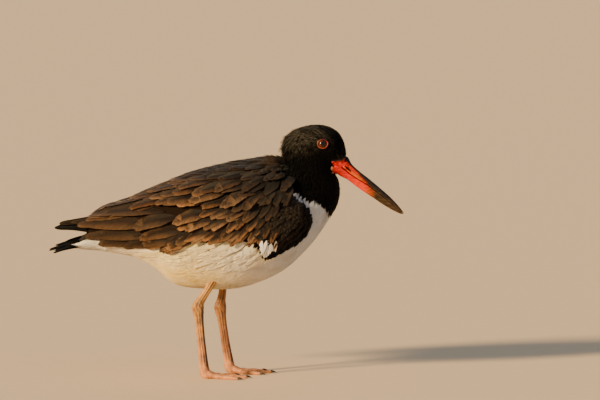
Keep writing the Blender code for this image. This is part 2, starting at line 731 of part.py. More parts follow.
def make_foot(name, side, base):
    """The foot with its three toes on flat pads, and a claw on each toe."""
    middle = np.array((base[0], side * LEG_SPREAD, base[1]))
    toes = []
    for toe, degrees, length in TOES:
        rows, way = toe_path(middle, side, math.radians(degrees), length)
        across = np.array((-way[1], way[0], 0.0))
        rings = []
        for place, radius in rows:
            rings.append(
                [
                    place + across * math.cos(a) * radius + np.array((0.0, 0.0, math.sin(a) * radius))
                    for a in np.linspace(0, 2 * math.pi, 8, endpoint=False)
                ]
            )
        toes.append(loft("toe", rings, "leg"))
        make_claw(f"claw_{toe}_{name}", rows[-1][0], way, across, rows[-1][1])
    pad_rows = ((-1.6, 8.7, 5.3, 4.2), (-0.9, 5.6, 6.0, 5.0), (-0.2, 2.6, 6.2, 5.6), (0.0, -1.4, 5.0, 4.8))
    pad = loft(
        f"foot_{name}",
        [
            [
                np.array((middle[0] + x + math.cos(a) * fore, middle[1] + math.sin(a) * wide, z))
                for a in np.linspace(0, 2 * math.pi, 10, endpoint=False)
            ]
            for x, z, fore, wide in pad_rows
        ],
        "leg",
    )
    webs = [make_web(middle, side, TOES[0], TOES[1], 0.22), make_web(middle, side, TOES[1], TOES[2], 0.34)]
    boolean(pad, toes + webs, "UNION")
    boolean(pad, [block("floor", (-200.0, -80.0, -20.0), (200.0, 80.0, 0.0), "leg")], "DIFFERENCE")


def make_web(middle, side, first, second, reach):
    """The small skin between the roots of two toes."""
    corners = []
    for _, degrees, length in (first, second):
        turn = math.radians(degrees)
        way = np.array((math.cos(turn), side * math.sin(turn), 0.0))
        corners.append(middle + way * length * reach)
    between = (corners[0] + corners[1]) / 2 - (corners[0] + corners[1] - 2 * middle) * 0.06
    outline = [middle, corners[0], between, corners[1]]
    points = [np.array((p[0], p[1], z)) for z in (0.6, 2.3) for p in outline]
    faces = [(0, 1, 2, 3), (4, 5, 6, 7)] + [(k, (k + 1) % 4, 4 + (k + 1) % 4, 4 + k) for k in range(4)]
    return mesh_object("web", points, faces, "leg")


def make_claw(name, start, way, across, radius):
    """A short blunt claw, a little curved, that just clears the floor."""
    rings = []
    for share, height, size in ((0.0, 1.75, 0.8), (0.35, 1.75, 0.72), (0.7, 1.4, 0.5)):
        place = start + way * (GAP + CLAW_LENGTH * share)
        place[2] = height
        rings.append(
            [
                place + (across * math.cos(a) * 0.85 + np.array((0.0, 0.0, math.sin(a)))) * radius * size
                for a in np.linspace(0, 2 * math.pi, 8, endpoint=False)
            ]
        )
    tip = start + way * (GAP + CLAW_LENGTH)
    tip[2] = 0.55
    return loft(name, rings, "claw", tip)


def main():
    for obj in list(bpy.data.objects):
        bpy.data.objects.remove(obj)
    head = make_body()
    make_bill(head)
    make_eyes(head)
    make_tail()
    for name, side in SIDES:
        make_wing(name, side)
        make_leg(name, side)
    bird = bpy.data.collections.new("oystercatcher")
    bpy.context.scene.collection.children.link(bird)
    for obj in list(bpy.context.scene.collection.objects):
        bpy.context.scene.collection.objects.unlink(obj)
        bird.objects.link(obj)


main()
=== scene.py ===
"""The looks of a standing oystercatcher: skin, plumage, bill, eyes, legs, floor, light and camera.

Shapes are worked out in millimetres and made in metres. A place in the side view is written (x, z).
"""

import math

import bmesh
import bpy
import numpy as np
from mathutils import Matrix, Vector


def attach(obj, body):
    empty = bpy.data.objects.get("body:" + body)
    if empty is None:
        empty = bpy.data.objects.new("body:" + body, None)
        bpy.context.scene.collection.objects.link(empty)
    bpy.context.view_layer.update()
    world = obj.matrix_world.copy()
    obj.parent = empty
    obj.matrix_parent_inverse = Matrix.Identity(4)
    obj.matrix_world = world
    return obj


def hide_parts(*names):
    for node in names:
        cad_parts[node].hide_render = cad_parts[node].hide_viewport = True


def rgb(*values):
    return np.array(values)


MM = 0.001
SIDES = (("right", -1), ("left", 1))

# Rings of the body: top x, top z, bottom x, bottom z, half width, lean.
BODY_RINGS = (
    (-127, 143, -127, 127.6, 12, 0),
    (-112, 152, -114, 125.2, 20, 0),
    (-88, 165, -93, 120.8, 31, 0),
    (-64, 179, -73, 110.5, 39.5, 0),
    (-39, 193, -51.5, 93, 45, 0),
    (-13, 203.5, -21.5, 88, 48, 0),
    (13, 212, 12, 88.8, 48.5, 0),
    (33, 219.5, 42.5, 98.8, 46.5, 0),
    (44.5, 221.4, 63.5, 111.5, 43, 0),
    (53.5, 220.6, 84.5, 132.5, 37.5, 0),
    (57, 219, 100.5, 154.5, 31.5, 0.05),
    (55.6, 224, 110.6, 171, 26.5, 0.1),
    (55.6, 231.5, 113.8, 185, 23.2, 0.15),
    (58.4, 239, 112.4, 196, 21.4, 0.25),
    (64.4, 245, 110.6, 201.8, 20, 0.36),
    (73, 249.6, 110.2, 203, 18.8, 0.42),
    (83, 252.2, 110.5, 203.4, 17.8, 0.45),
    (93.5, 252.6, 110.8, 203.7, 17, 0.45),
    (103.5, 250.4, 111.1, 203.9, 15.6, 0.42),
    (112, 245, 111.4, 204, 13.4, 0.36),
    (117, 237, 111.7, 204.1, 11.2, 0.26),
    (119.3, 228, 112, 204.1, 9.2, 0.1),
    (120.3, 221, 112.4, 203.9, 7.4, 0),
)

# Rings of the folded wings' outer face.
WING_RINGS = (
    (-176, 152, -176, 147, 6, 0),
    (-160, 156.5, -160, 145, 9, 0),
    (-142, 160, -142, 140, 15, 0),
    (-122, 171.7, -122, 128.5, 25.5, 0.05),
    (-97, 180.5, -99, 122.5, 36.5, 0.05),
    (-68, 193.2, -74, 110.5, 45, 0.05),
    (-39, 204.8, -51.5, 93, 50.5, 0),
    (-13, 212.2, -21.5, 88, 53, 0),
    (13, 217.6, 12, 88.8, 53.5, 0),
    (34, 220.6, 42.5, 98.8, 51.5, 0),
    (46.5, 220.8, 66.5, 113, 47.5, 0),
    (56, 216, 88, 136, 41.5, 0),
    (63, 212, 104, 160, 34, 0),
)
WING_UPPER = (
    (88, 160), (85, 171), (79, 179), (71, 187), (62, 195), (53, 203),
    (44, 210.5), (34, 217.8), (14, 217.5), (-12, 212.3), (-38, 205), (-67, 193.4),
    (-96, 180.8), (-120, 172.3), (-139, 162.3),
)
WING_LOWER = (
    (88, 158), (86, 146), (79, 137.5), (69, 130.5), (57, 123.5), (44, 118.5),
    (30, 121), (15, 125), (-2, 127.5), (-26, 128), (-52, 126), (-76, 126.5),
    (-98, 128), (-120, 131), (-139, 141.5),
)
MIDLINE = 0.5  # how near the bird's middle plane a wing's feathers may come
GOLDEN_SHARE = 0.61803398875  # sets each row of feathers off evenly from the last
TUFT_SPOT = 0.003  # a small feather's size on the bake map
BARB_TURN = 105.0  # barbs about 0.6 mm apart

# The camera looks down a little: how far a place sinks in the picture for each millimetre it is nearer.
VIEW_DROP = 0.087

TAIL_RINGS = (
    (-119, 147, -119, 126.2, 16.2, 0),
    (-127.3, 143, -127.3, 127.8, 11.6, 0),
    (-138, 142.6, -138, 128.3, 12, 0),
    (-149, 138.6, -149, 129.6, 11, 0),
    (-160, 133.2, -160, 130.6, 6, 0),
)
RECTRIX_ROOT = (-131, 141.2)
# Tail feathers of one side: tip x and z, share of the way out, share of the width at the end.
RECTRICES = (
    (-171.2, 131.6, 0.17, 0.34), (-177.4, 127, 0.5, 0.34), (-173, 124.9, 0.83, 0.34),
    (-161, 134.6, 0.05, 0.8), (-162, 133.2, 0.34, 0.8), (-161.5, 131.8, 0.67, 0.8), (-159.5, 131, 0.92, 0.6),
)
RECTRIX_FAN = math.radians(8)
RECTRIX_HALF = 4.6

# Rings of the bill, and where the mouth line runs as a share of each ring's height from the top.
BILL_RINGS = (
    (104.6, 215.2, 104.2, 204.6, 9.9, 0),
    (111.6, 218.2, 109.4, 203.7, 9.1, 0),
    (120.4, 220.7, 114.6, 200.6, 7.5, 0),
    (125.6, 212.7, 121, 197.4, 6.3, 0),
    (133.6, 205.3, 128.6, 191.6, 5.3, 0),
    (143, 197.9, 137.1, 185.5, 4.6, 0),
    (153.6, 189, 147.2, 178.8, 3.9, 0),
    (163.1, 180.6, 157.2, 172, 3.1, 0),
    (170.6, 172.8, 166.7, 166.5, 2.2, 0),
    (175.4, 167, 173.8, 163.1, 1.3, 0),
)
BILL_END = (177.5, 163.4)
MOUTH_SHARE = (0.2, 0.38, 0.6, 0.58, 0.5, 0.42, 0.42, 0.41, 0.43, 0.46)
NOSTRIL = ((119, 211.2), (124.6, 206.4))
GAPE_PLACES = (
    (106.6, 209.6), (106, 208.9), (105.6, 208.2), (106.2, 205.6),
    (107.2, 205), (105.8, 204.9), (107.8, 216.4), (107.4, 215.6),
)

EYE_PLACE = (96, 234.8)
EYE_RADIUS = 5.6
EYE_OUT = 1.9  # how far the ball stands out of the head
EYE_OPENING = 4.5
EYE_BARE = 5.4  # how far from its middle the feathers keep away
LID_RADIUS = EYE_OPENING + 0.55
LID_HALF = 1.05

# Legs: x, z, half length fore and aft, half width across.
LEGS = {
    "right": (
        (-6, 112, 4.6, 4.4), (-13, 98.5, 4.1, 3.9), (-20, 87, 3.9, 3.6), (-26.4, 77.2, 4.7, 4.1),
        (-28.4, 71.6, 6.1, 4.7), (-28, 66, 5.6, 4.5), (-27.3, 60.7, 4.7, 3.8), (-26.4, 50, 4.3, 3.1),
        (-24.6, 32, 4.3, 3.1), (-22.9, 16, 4.7, 3.6), (-22.2, 9, 5.4, 4.3),
    ),
    "left": (
        (-3.2, 104, 4.6, 4.4), (-3.6, 92, 4.1, 3.9), (-4.4, 82, 3.9, 3.6), (-5.9, 73, 4.7, 4.1),
        (-6.7, 67.6, 6.1, 4.7), (-6.3, 62.4, 5.6, 4.5), (-5.4, 57.3, 4.7, 3.8), (-4, 47.5, 4.3, 3.1),
        (-1.4, 31, 4.3, 3.1), (1.2, 16, 4.7, 3.6), (2.2, 9, 5.4, 4.3),
    ),
}
LEG_SPREAD = 22.0
FOOT_PLACES = {"right": (-20.6, 5), "left": (3.8, 5)}
TOES = (("inner", -27, 34), ("middle", 0, 41), ("outer", 25, 36))
CLAW_LENGTH = 5.0
TOE_PLATE = 2.3  # pitch of the plates along a toe
SHIN_PLATE = 3.1
LEG_GRAIN = 0.45  # the finest form that a leg's skin keeps

# Colours of the plumage, as linear red, green and blue.
HOOD = rgb(0.0005, 0.0004, 0.0004)
# Olive-grey of the hood: a painted highlight on the crown and nape, and the lores' own speckles.
HOOD_LIT = rgb(0.034, 0.0305, 0.0262)
MANTLE = rgb(0.03, 0.018, 0.011)
WHITE = rgb(0.9, 0.86, 0.79)
# Painted warm sunlight: a cream that stands in for the warm key light on white feathers.
SUNLIT_CREAM = rgb(0.97, 0.75, 0.26)
BROWN = rgb(0.112, 0.057, 0.025)
DARK_BROWN = rgb(0.012, 0.0056, 0.0028)
BLACK_BROWN = rgb(0.0118, 0.0066, 0.0042)
BLACK = rgb(0.0007, 0.0006, 0.0006)
BILL_RED = rgb(0.64, 0.0145, 0.005)
BILL_ORANGE = rgb(0.78, 0.038, 0.0045)
BILL_AMBER = rgb(0.72, 0.13, 0.005)
BILL_DUSK = rgb(0.03, 0.0195, 0.0155)
BILL_OLIVE = rgb(0.07, 0.042, 0.02)
BILL_DARK = rgb(0.007, 0.005, 0.0045)
GAPE_CREAM = rgb(0.6, 0.44, 0.2)
IRIS_DARK = rgb(0.03, 0.006, 0.003)
IRIS_RAYS = rgb(0.07, 0.018, 0.009)
LID_FRONT = rgb(0.27, 0.016, 0.007)
LID_REAR = rgb(0.2, 0.04, 0.018)
# Paler tones of the lid's ridge, laid on as a painted highlight.
LID_FRONT_RIDGE = rgb(0.62, 0.07, 0.05)
LID_REAR_RIDGE = rgb(0.46, 0.13, 0.065)
LID_FOLD = rgb(0.04, 0.005, 0.003)
# Painted shade where the lid ring meets the ball and the feathers.
LID_RECESS_SHADE = rgb(0.02, 0.003, 0.002)
LEG_PINK = rgb(0.66, 0.27, 0.1)
LEG_OCHRE = rgb(0.62, 0.31, 0.075)
# Dark red-brown: the legs' own mottling, and painted shade in their grooves and along their front edge.
LEG_MOTTLE_AND_SHADE = rgb(0.07, 0.021, 0.011)
CLAW_HORN = rgb(0.02, 0.013, 0.01)


def layered(colour, *coats):
    """A colour with others laid over it in turn, each by its share."""
    for tone, share in coats:
        colour = mix(colour, tone, share)
    return colour


def smooth(low, high, value):
    """0 below low, 1 above high, and an even ease between."""
    share = np.clip((np.asarray(value, float) - low) / (high - low), 0.0, 1.0)
    return share * share * (3 - 2 * share)


def hump(value, middle, width):
    """1 at the middle, falling off evenly to both sides."""
    return np.exp(-(((value - middle) / width) ** 2))


def mix(first, second, share):
    """Colours blended by a share, which may be an array."""
    share = np.asarray(share, float)[..., None]
    return first * (1 - share) + second * share


def unit(vectors):
    return vectors / np.maximum(np.linalg.norm(vectors, axis=-1, keepdims=True), 1e-12)


def curve_at(rows, t):
    """The values at t, counted in rows, of a smooth curve through the rows."""
    rows = np.asarray(rows, float)
    last = len(rows) - 1
    t = np.clip(np.asarray(t, float), 0.0, last)
    i = np.clip(np.floor(t).astype(int), 0, last - 1)
    u = (t - i)[..., None]
    padded = np.concatenate(([2 * rows[0] - rows[1]], rows, [2 * rows[-1] - rows[-2]]))
    p0, p1, p2, p3 = (padded[i + k] for k in range(4))
    cubic = -p0 + 3 * p1 - 3 * p2 + p3
    return p1 + 0.5 * u * ((p2 - p0) + u * (2 * p0 - 5 * p1 + 4 * p2 - p3 + u * cubic))


def along(rows, share):
    """The values at a share, 0 to 1, of a smooth curve through the rows."""
    return curve_at(rows, np.asarray(share, float) * (len(rows) - 1))


class Sweep:
    """A form that runs through flat rings. All calls take arrays."""

    def __init__(self, rings):
        self.rings = np.array(rings, float)
        self.last = len(rings) - 1

    def point(self, t, angle, side=1.0):
        """angle runs from 0 at the top to pi at the bottom, on one side."""
        row = curve_at(self.rings, t)
        share = (1 - np.cos(angle)) / 2
        across = row[..., 4] * np.sin(angle) * (1 + row[..., 5] * np.cos(angle))
        x = row[..., 0] + (row[..., 2] - row[..., 0]) * share
        z = row[..., 1] + (row[..., 3] - row[..., 1]) * share
        return np.stack((x, side * across + 0 * x, z), -1)

    def slopes(self, t, angle, side=1.0):
        """How the place moves with t and with angle, and the outward normal."""
        step = 0.03
        high, low = np.clip(t + step, 0, self.last), np.clip(t - step, 0, self.last)
        ahead = (self.point(high, angle, side) - self.point(low, angle, side)) / (high - low)[..., None]
        down = (self.point(t, angle + step, side) - self.point(t, angle - step, side)) / (2 * step)
        return ahead, down, unit(np.cross(ahead, down) * side)

    def lifted(self, t, angle, side, lift):
        normal = self.slopes(t, angle, side)[2]
        return self.point(t, angle, side) + normal * np.asarray(lift, float)[..., None]

    def locate(self, x, z):
        """(t, angle) of places seen at (x, z) from the side."""
        x, z = np.atleast_1d(x)[:, None], np.atleast_1d(z)[:, None]
        grid = np.linspace(0.0, self.last, 50 * self.last + 1)
        row = curve_at(self.rings, grid)
        down_x, down_z = row[:, 2] - row[:, 0], row[:, 3] - row[:, 1]
        away_x, away_z = x - row[None, :, 0], z - row[None, :, 1]
        offset = away_z * down_x - away_x * down_z
        share = (away_x * down_x + away_z * down_z) / (down_x**2 + down_z**2)
        crossed = offset[:, :-1] * offset[:, 1:] <= 0
        outside = np.maximum(0, np.maximum(-share[:, :-1], share[:, :-1] - 1))
        cost = np.where(crossed, outside, 1e3 + np.abs(offset[:, :-1]))
        best = np.argmin(cost, axis=1)
        rows = np.arange(len(best))
        first, second = offset[rows, best], offset[rows, best + 1]
        part = np.where(np.abs(first - second) > 1e-9, first / (first - second + 1e-12), 0.0)
        t = grid[best] + (grid[1] - grid[0]) * np.clip(part, 0, 1)
        row = curve_at(self.rings, t)
        down = row[:, 2:4] - row[:, 0:2]
        away = np.concatenate((x, z), 1) - row[:, 0:2]
        share = np.clip((away * down).sum(1) / (down * down).sum(1), 0, 1)
        return t, np.arccos(1 - 2 * share)


BODY = Sweep(BODY_RINGS)
WING = Sweep(WING_RINGS)
TAIL = Sweep(TAIL_RINGS)
BILL = Sweep(BILL_RINGS)


def new_mesh_object(name, points, triangles, finish):
    """An object from points in millimetres and triangles."""
    mesh = bpy.data.meshes.new(name)
    mesh.vertices.add(len(points))
    mesh.vertices.foreach_set("co", (np.asarray(points) * MM).astype(np.float32).ravel())
    mesh.loops.add(3 * len(triangles))
    mesh.loops.foreach_set("vertex_index", np.asarray(triangles, np.int32).ravel())
    mesh.polygons.add(len(triangles))
    mesh.polygons.foreach_set("loop_start", np.arange(0, 3 * len(triangles), 3, dtype=np.int32))
    mesh.update(calc_edges=True)
    mesh.materials.append(MATERIALS[finish])
    obj = bpy.data.objects.new(name, mesh)
    bpy.context.scene.collection.objects.link(obj)
    return obj


def set_tint(mesh, colours):
    """The colour of each point, kept on the mesh."""
    layer = mesh.color_attributes.new("tint", "FLOAT_COLOR", "POINT")
    rows = np.ones((len(mesh.vertices), 4), np.float32)
    rows[:, :3] = colours
    layer.data.foreach_set("color", rows.ravel())


def set_map(mesh, name, places):
    """A flat map given by point."""
    layer = mesh.uv_layers.new(name=name)
    corner = np.empty(len(mesh.loops), np.int32)
    mesh.loops.foreach_get("vertex_index", corner)
    layer.data.foreach_set("uv", np.asarray(places, np.float32)[corner].ravel())


class Plumage:
    """Feathers gathered into one mesh. Each is a thin closed vane, arched across its shaft."""

    def __init__(self):
        self.points, self.triangles, self.hard = [], [], []
        self.tints, self.vane, self.place, self.bake, self.normals = [], [], [], [], []
        self.count = self.cells = 0

    def add(self, spine, normal, half, outline, columns, arch, tint, patch, tip_round, skew=0.0, fray=0.0):
        """spine and normal hold stations for each feather, and outline the share of the half width at each.

        fray shortens each column by that much. Without a patch, a feather gets a cell of its own.
        """
        feathers, stations = spine.shape[:2]
        ahead = unit(np.gradient(spine, axis=1))
        across = unit(np.cross(ahead, normal))
        up = unit(np.cross(across, ahead))
        u = np.sin(np.linspace(-0.5, 0.5, columns) * math.pi)
        width = half[:, None] * outline
        if width.ndim == 2:
            width = width[..., None]
        reach = width * (u + skew * (1 - u * u))
        share = np.linspace(0.0, 1.0, stations)
        round_off = tip_round * half[:, None] * (1 - np.sqrt(1 - u * u)) + fray
        lag = round_off[:, None, :] * (share**3)[None, :, None]
        height = -arch * width * (u * u)
        place = (
            spine[:, :, None, :]
            + across[:, :, None, :] * reach[..., None]
            + up[:, :, None, :] * height[..., None]
            - ahead[:, :, None, :] * lag[..., None]
        )
        length = np.linalg.norm(np.diff(spine, axis=1), axis=-1).sum(1)
        v_mm = np.broadcast_to(share[None, :, None] * length[:, None, None] - lag, reach.shape)
        total = stations * columns
        self.points.append(place.reshape(-1, 3))
        self.normals.append(np.repeat(normal.reshape(-1, 3), columns, axis=0))
        colours = tint(share[None, :, None], u[None, None, :])
        self.tints.append(np.broadcast_to(colours, reach.shape + (3,)).reshape(-1, 3))
        self.vane.append(np.stack((reach / 10, v_mm / 10), -1).reshape(-1, 2))
        u_share = np.broadcast_to((u / 2 + 0.5)[None, None, :], reach.shape)
        v_share = np.broadcast_to(share[None, :, None], reach.shape)
        inside = np.stack((u_share, v_share), -1)
        self.place.append(inside.reshape(-1, 2))
        if patch is None:
            self.bake.append((inside, self.cells + np.arange(feathers)))
            self.cells += feathers
        else:
            self.bake.append(((patch[:, None, None, :] + inside * TUFT_SPOT).reshape(-1, 2), None))
        pattern, hard = vane_pattern(stations, columns)
        starts = self.count + np.arange(feathers) * total
        self.triangles.append((pattern[None] + starts[:, None, None]).reshape(-1, 3))
        self.hard.append(np.tile(hard, feathers))
        self.count += feathers * total

    def build(self, name, finish, slot, replaced=(), even=0.0):
        """The gathered feathers as one piece. even blends their shading with the form's."""
        points = np.concatenate(self.points)
        obj = new_mesh_object(name, points, np.concatenate(self.triangles), finish)
        mesh = obj.data
        flag = mesh.attributes.new("sharp_face", "BOOLEAN", "FACE")
        flag.data.foreach_set("value", np.concatenate(self.hard))
        set_tint(mesh, np.concatenate(self.tints))
        set_map(mesh, "OFBake", self.bake_map())
        set_map(mesh, "vane", np.concatenate(self.vane))
        set_map(mesh, "place", np.concatenate(self.place))
        if even:
            own = np.empty(3 * len(points), np.float32)
            mesh.vertices.foreach_get("normal", own)
            blend = unit(own.reshape(-1, 3) * (1 - even) + np.concatenate(self.normals) * even)
            corners = blend[np.concatenate(self.triangles).ravel()]
            corners[np.repeat(np.concatenate(self.hard), 3)] = 0.0
            mesh.normals_split_custom_set(corners)
        hand_over(obj, replaced)

    def bake_map(self):
        """The feathers' places on their bake map, each large one in a cell of its own."""
        rows, places = max(math.ceil(math.sqrt(self.cells)), 1), []
        for place, cell in self.bake:
            if cell is not None:
                corner = np.stack((cell % rows, cell // rows), -1) + 0.04
                place = ((corner[:, None, None, :] + 0.92 * place) / rows).reshape(-1, 2)
            places.append(place)
        return np.concatenate(places)


def vane_pattern(stations, columns):
    """Triangles of one vane and which of them are its flat back and ends."""
    faces, hard = [], []
    for i in range(stations - 1):
        for k in range(columns - 1):
            a, b = i * columns + k, (i + 1) * columns + k
            faces += [(a, a + 1, b + 1), (a, b + 1, b)]
            hard += [False, False]
        a, b = i * columns, (i + 1) * columns
        far = columns - 1
        faces += [(a, b, b + far), (a, b + far, a + far)]
        hard += [True, True]
    end = (stations - 1) * columns
    for k in range(1, columns - 1):
        faces += [(0, k + 1, k), (end, end + k, end + k + 1)]
        hard += [True, True]
    return np.array(faces, np.int32), np.array(hard, bool)


def hand_over(obj, replaced=()):
    """The piece rides on the bird and stands for the nodes it covers."""
    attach(obj, "root")
    if replaced:
        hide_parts(*replaced)


def tuft_patch(sweep, t, angle, side):
    """Where each small feather sits on a flat unwrap of the form it grows on."""
    u = 0.02 + 0.95 * np.clip(t / sweep.last, 0, 1)
    v = 0.25 + 0.25 * side + 0.01 + 0.47 * np.clip(angle / math.pi, 0, 1)
    return np.stack((u, v), -1)


def spread(sweep, side, span, pitch, keep, seed):
    """Evenly scattered places (t, angle) where keep is true, pitch millimetres apart."""
    rows, columns = 1100, 260
    t = np.linspace(span[0], span[1], rows)
    angle = np.linspace(0.0, math.pi, columns)
    grid_t, grid_angle = np.meshgrid(t, angle, indexing="ij")
    place = sweep.point(grid_t, grid_angle, side)
    across = np.cross(np.gradient(place, axis=0), np.gradient(place, axis=1))
    want = np.linalg.norm(across, axis=-1) / pitch(place) ** 2 * keep(place, grid_t, grid_angle)
    phase = (np.arange(rows) * GOLDEN_SHARE) % 1.0
    count = np.cumsum(want, axis=1) + phase[:, None]
    before = np.concatenate((phase[:, None], count[:, :-1]), axis=1)
    picked = np.floor(count) > np.floor(before)
    draw = np.random.default_rng(seed)
    found_t, found_angle = grid_t[picked], grid_angle[picked]
    ahead, down, _ = sweep.slopes(found_t, found_angle, side)
    loose = draw.uniform(-1, 1, (2, len(found_t))) * pitch(place[picked]) * 0.45
    found_t = found_t + loose[0] / np.maximum(np.linalg.norm(ahead, axis=-1), 2)
    found_angle = found_angle + loose[1] / np.linalg.norm(down, axis=-1)
    return np.clip(found_t, span[0], span[1]), np.clip(found_angle, 0, math.pi)


def run(sweep, side, t, angle, length, steps, turn):
    """Paths over a form: at each step, turn says how far the way bends down from straight back."""
    step = length / steps
    t, angle = np.array(t, float), np.array(angle, float)
    path = [(t, angle)]
    for _ in range(steps):
        ahead, down, _ = sweep.slopes(t, angle, side)
        back, below = turn(sweep.point(t, angle, side), ahead, down)
        run_t = np.clip(back * step / np.maximum(np.linalg.norm(ahead, axis=-1), 1e-6), -0.7, 0.7)
        t = np.clip(t + run_t, 0.0, sweep.last)
        angle = angle + below * step / np.maximum(np.linalg.norm(down, axis=-1), 1e-6)
        path.append((t, angle))
    return np.stack([p[0] for p in path], 1), np.stack([p[1] for p in path], 1)


def lie_back(tilt, sign=-1.0):
    """The way that small feathers lie: back along the form, bent down by tilt radians."""
    return lambda place, ahead, down: (sign * np.cos(tilt), np.sin(tilt))


def lie_to(centre, tilt):
    """The way from a large feather's tip to its root: towards a centre in the side view."""

    def turn(place, ahead, down):
        first, second = unit(ahead)[:, [0, 2]], unit(down)[:, [0, 2]]
        goal = unit(np.array(centre) - place[:, [0, 2]])
        cos, sin = np.cos(tilt), np.sin(tilt)
        goal = np.stack((goal[:, 0] * cos - goal[:, 1] * sin, goal[:, 0] * sin + goal[:, 1] * cos), -1)
        aa, bb = (first * first).sum(1), (second * second).sum(1) + 0.12
        ab = (first * second).sum(1)
        ag, bg = (first * goal).sum(1), (second * goal).sum(1)
        spare = aa * bb - ab * ab + 1e-9
        a, b = (ag * bb - bg * ab) / spare, (bg * aa - ag * ab) / spare
        size = np.maximum(np.hypot(a, b), 1e-6)
        return a / size, b / size

    return turn


# Where the black hood ends on the breast and neck, in the side view.
HOOD_EDGE_X = (-200, 58, 69.8, 75.8, 78.5, 82.5, 85.2, 89.8, 93.8, 97.2, 100.5, 103.2, 105.8, 130)
HOOD_EDGE_Z = (190, 190, 185.2, 181.2, 180.2, 176.8, 175.3, 176.3, 175.7, 172, 168.7, 164, 161, 148)

# Where the feathers of the face end above the bill.
BARE_EDGE_X = (105.8, 112.1, 114.4, 116.7, 120)
BARE_EDGE_Z = (216.6, 217.4, 217.2, 219, 220.8)


def wander(place, size, seed):
    """Soft unevenness from a few sine waves, from -1 to 1."""
    draw = np.random.default_rng(seed)
    total = 0.0
    for _ in range(4):
        way = unit(draw.normal(size=3)) * 2 * math.pi / (size * draw.uniform(0.7, 1.6))
        total = total + np.sin(place @ way + draw.uniform(0, 6.28))
    return total / 4


def seen_height(place):
    """The height at which the camera sees a place."""
    return place[..., 2] - VIEW_DROP * np.abs(place[..., 1])


def above_hood_edge(place):
    """How far a place lies above the hood's edge."""
    edge = np.interp(place[..., 0], HOOD_EDGE_X, HOOD_EDGE_Z)
    return seen_height(place) - edge + 0.7 * wander(place, 6.0, 5)


def marking(place):
    """The plumage colour at places on the body, with painted sunlight low at the rear, painted shade on the
    breast and a painted highlight on the crown and nape.
    """
    x, z = place[..., 0], place[..., 2]
    # Painted warm sunlight: the underparts turn cream low at the rear, where the key light falls on them.
    sunlit_share = smooth(50, -40, x) * smooth(140, 105, z) * (0.85 + 0.3 * wander(place, 20.0, 4))
    under = mix(WHITE, SUNLIT_CREAM, np.clip(sunlit_share, 0, 1))
    under = mix(under, under * rgb(0.86, 0.84, 0.8), smooth(-0.1, 0.8, wander(place, 12.0, 3)))
    # Painted shade: the breast, turned away from the key light, turns greyer and bluer towards the front.
    under = mix(under, under * rgb(0.77, 0.85, 0.98), smooth(30, 80, x))
    # Painted highlight: the crown and nape lighten to olive-grey in patches, where the sun catches the
    # feathers.
    crown = 0.85 * smooth(222, 244, z) * smooth(116, 96, x) + 0.9 * smooth(98, 68, x) * smooth(218, 236, z)
    lit = crown * (0.5 + 0.45 * wander(place, 9.0, 8) + 0.9 * wander(place, 2.6, 10))
    lores = hump(x, 114.0, 5.0) * hump(z, 222.0, 5.0) * smooth(-0.2, 0.6, wander(place, 3.0, 14))
    hood = mix(HOOD, HOOD_LIT, np.maximum(np.clip(lit, 0, 1.3), lores))
    mantle = MANTLE * (1 + 0.3 * wander(place, 10.0, 9))[..., None]
    upper = mix(hood, mantle, smooth(60, 48, x) * smooth(228, 221, z))
    bare = mix(BILL_RED, HOOD_LIT, smooth(-2.6, 0.0, z - np.interp(x, BARE_EDGE_X, BARE_EDGE_Z)))
    return layered(under, (upper, above_hood_edge(place) > 0), (bare, on_bill(place)))


def coat_depth(t):
    """How deep the feathers of the body root, from the tail to the bill."""
    return 2.7 - 1.5 * smooth(9.0, 14.0, t) - 0.5 * smooth(19.0, 22.0, t)


class Finish:
    """A material built up node by node, whose inputs are numbers, colours or other nodes' outputs."""

    def __init__(self, name, roughness, specular=0.5, **more):
        self.made = bpy.data.materials.new(name)
        self.made.use_nodes = True
        self.tree = self.made.node_tree
        self.shader = self.tree.nodes["Principled BSDF"]
        self.fill(self.shader, {"Roughness": roughness, "Specular IOR Level": specular, **more})

    def fill(self, node, values):
        """Sets or links the inputs of a node, by name or number."""
        for socket, value in values.items():
            if isinstance(value, bpy.types.NodeSocket):
                self.tree.links.new(value, node.inputs[socket])
            else:
                node.inputs[socket].default_value = value

    def node(self, kind, values, out=0, **settings):
        """The output of a new node."""
        made = self.tree.nodes.new("ShaderNode" + kind)
        for name, value in settings.items():
            setattr(made, name, value)
        self.fill(made, values)
        return made.outputs[out]

    def sum(self, operation, *values):
        return self.node("Math", dict(enumerate(values)), operation=operation)

    def vector(self, operation, values):
        return self.node("VectorMath", values, operation=operation)

    def tint(self):
        """The colour kept on the mesh."""
        return self.node("Attribute", {}, "Color", attribute_name="tint")

    def place(self):
        return self.node("TexCoord", {}, "Object")

    def map_place(self, name):
        """The two numbers of a place on one of the mesh's flat maps."""
        split = self.node("SeparateXYZ", {0: self.node("UVMap", {}, uv_map=name)}).node
        return split.outputs[0], split.outputs[1]

    def noise(self, scale, detail=2.0, place=None, **more):
        place = self.place() if place is None else place
        return self.node("TexNoise", {"Scale": scale, "Detail": detail, "Vector": place, **more})

    def mottled(self, noise, low, high, dark=None):
        """The mesh's colour, made darker and lighter by noise, and darker where dark is low."""
        limits = {"From Min": 0.3, "From Max": 0.7, "To Min": low, "To Max": high}
        span = self.node("MapRange", {"Value": noise, **limits})
        if dark is not None:
            span = self.sum("MULTIPLY", span, dark)
        return self.vector("SCALE", {0: self.tint(), "Scale": span})

    def paint(self, colour, height=None, strength=0.0, depth=0.0):
        """Lays colour and relief on the shader and gives the material."""
        self.fill(self.shader, {"Base Color": colour})
        if height is not None:
            bump = self.node("Bump", {"Height": height, "Strength": strength, "Distance": depth})
            self.fill(self.shader, {"Normal": bump})
        return self.made


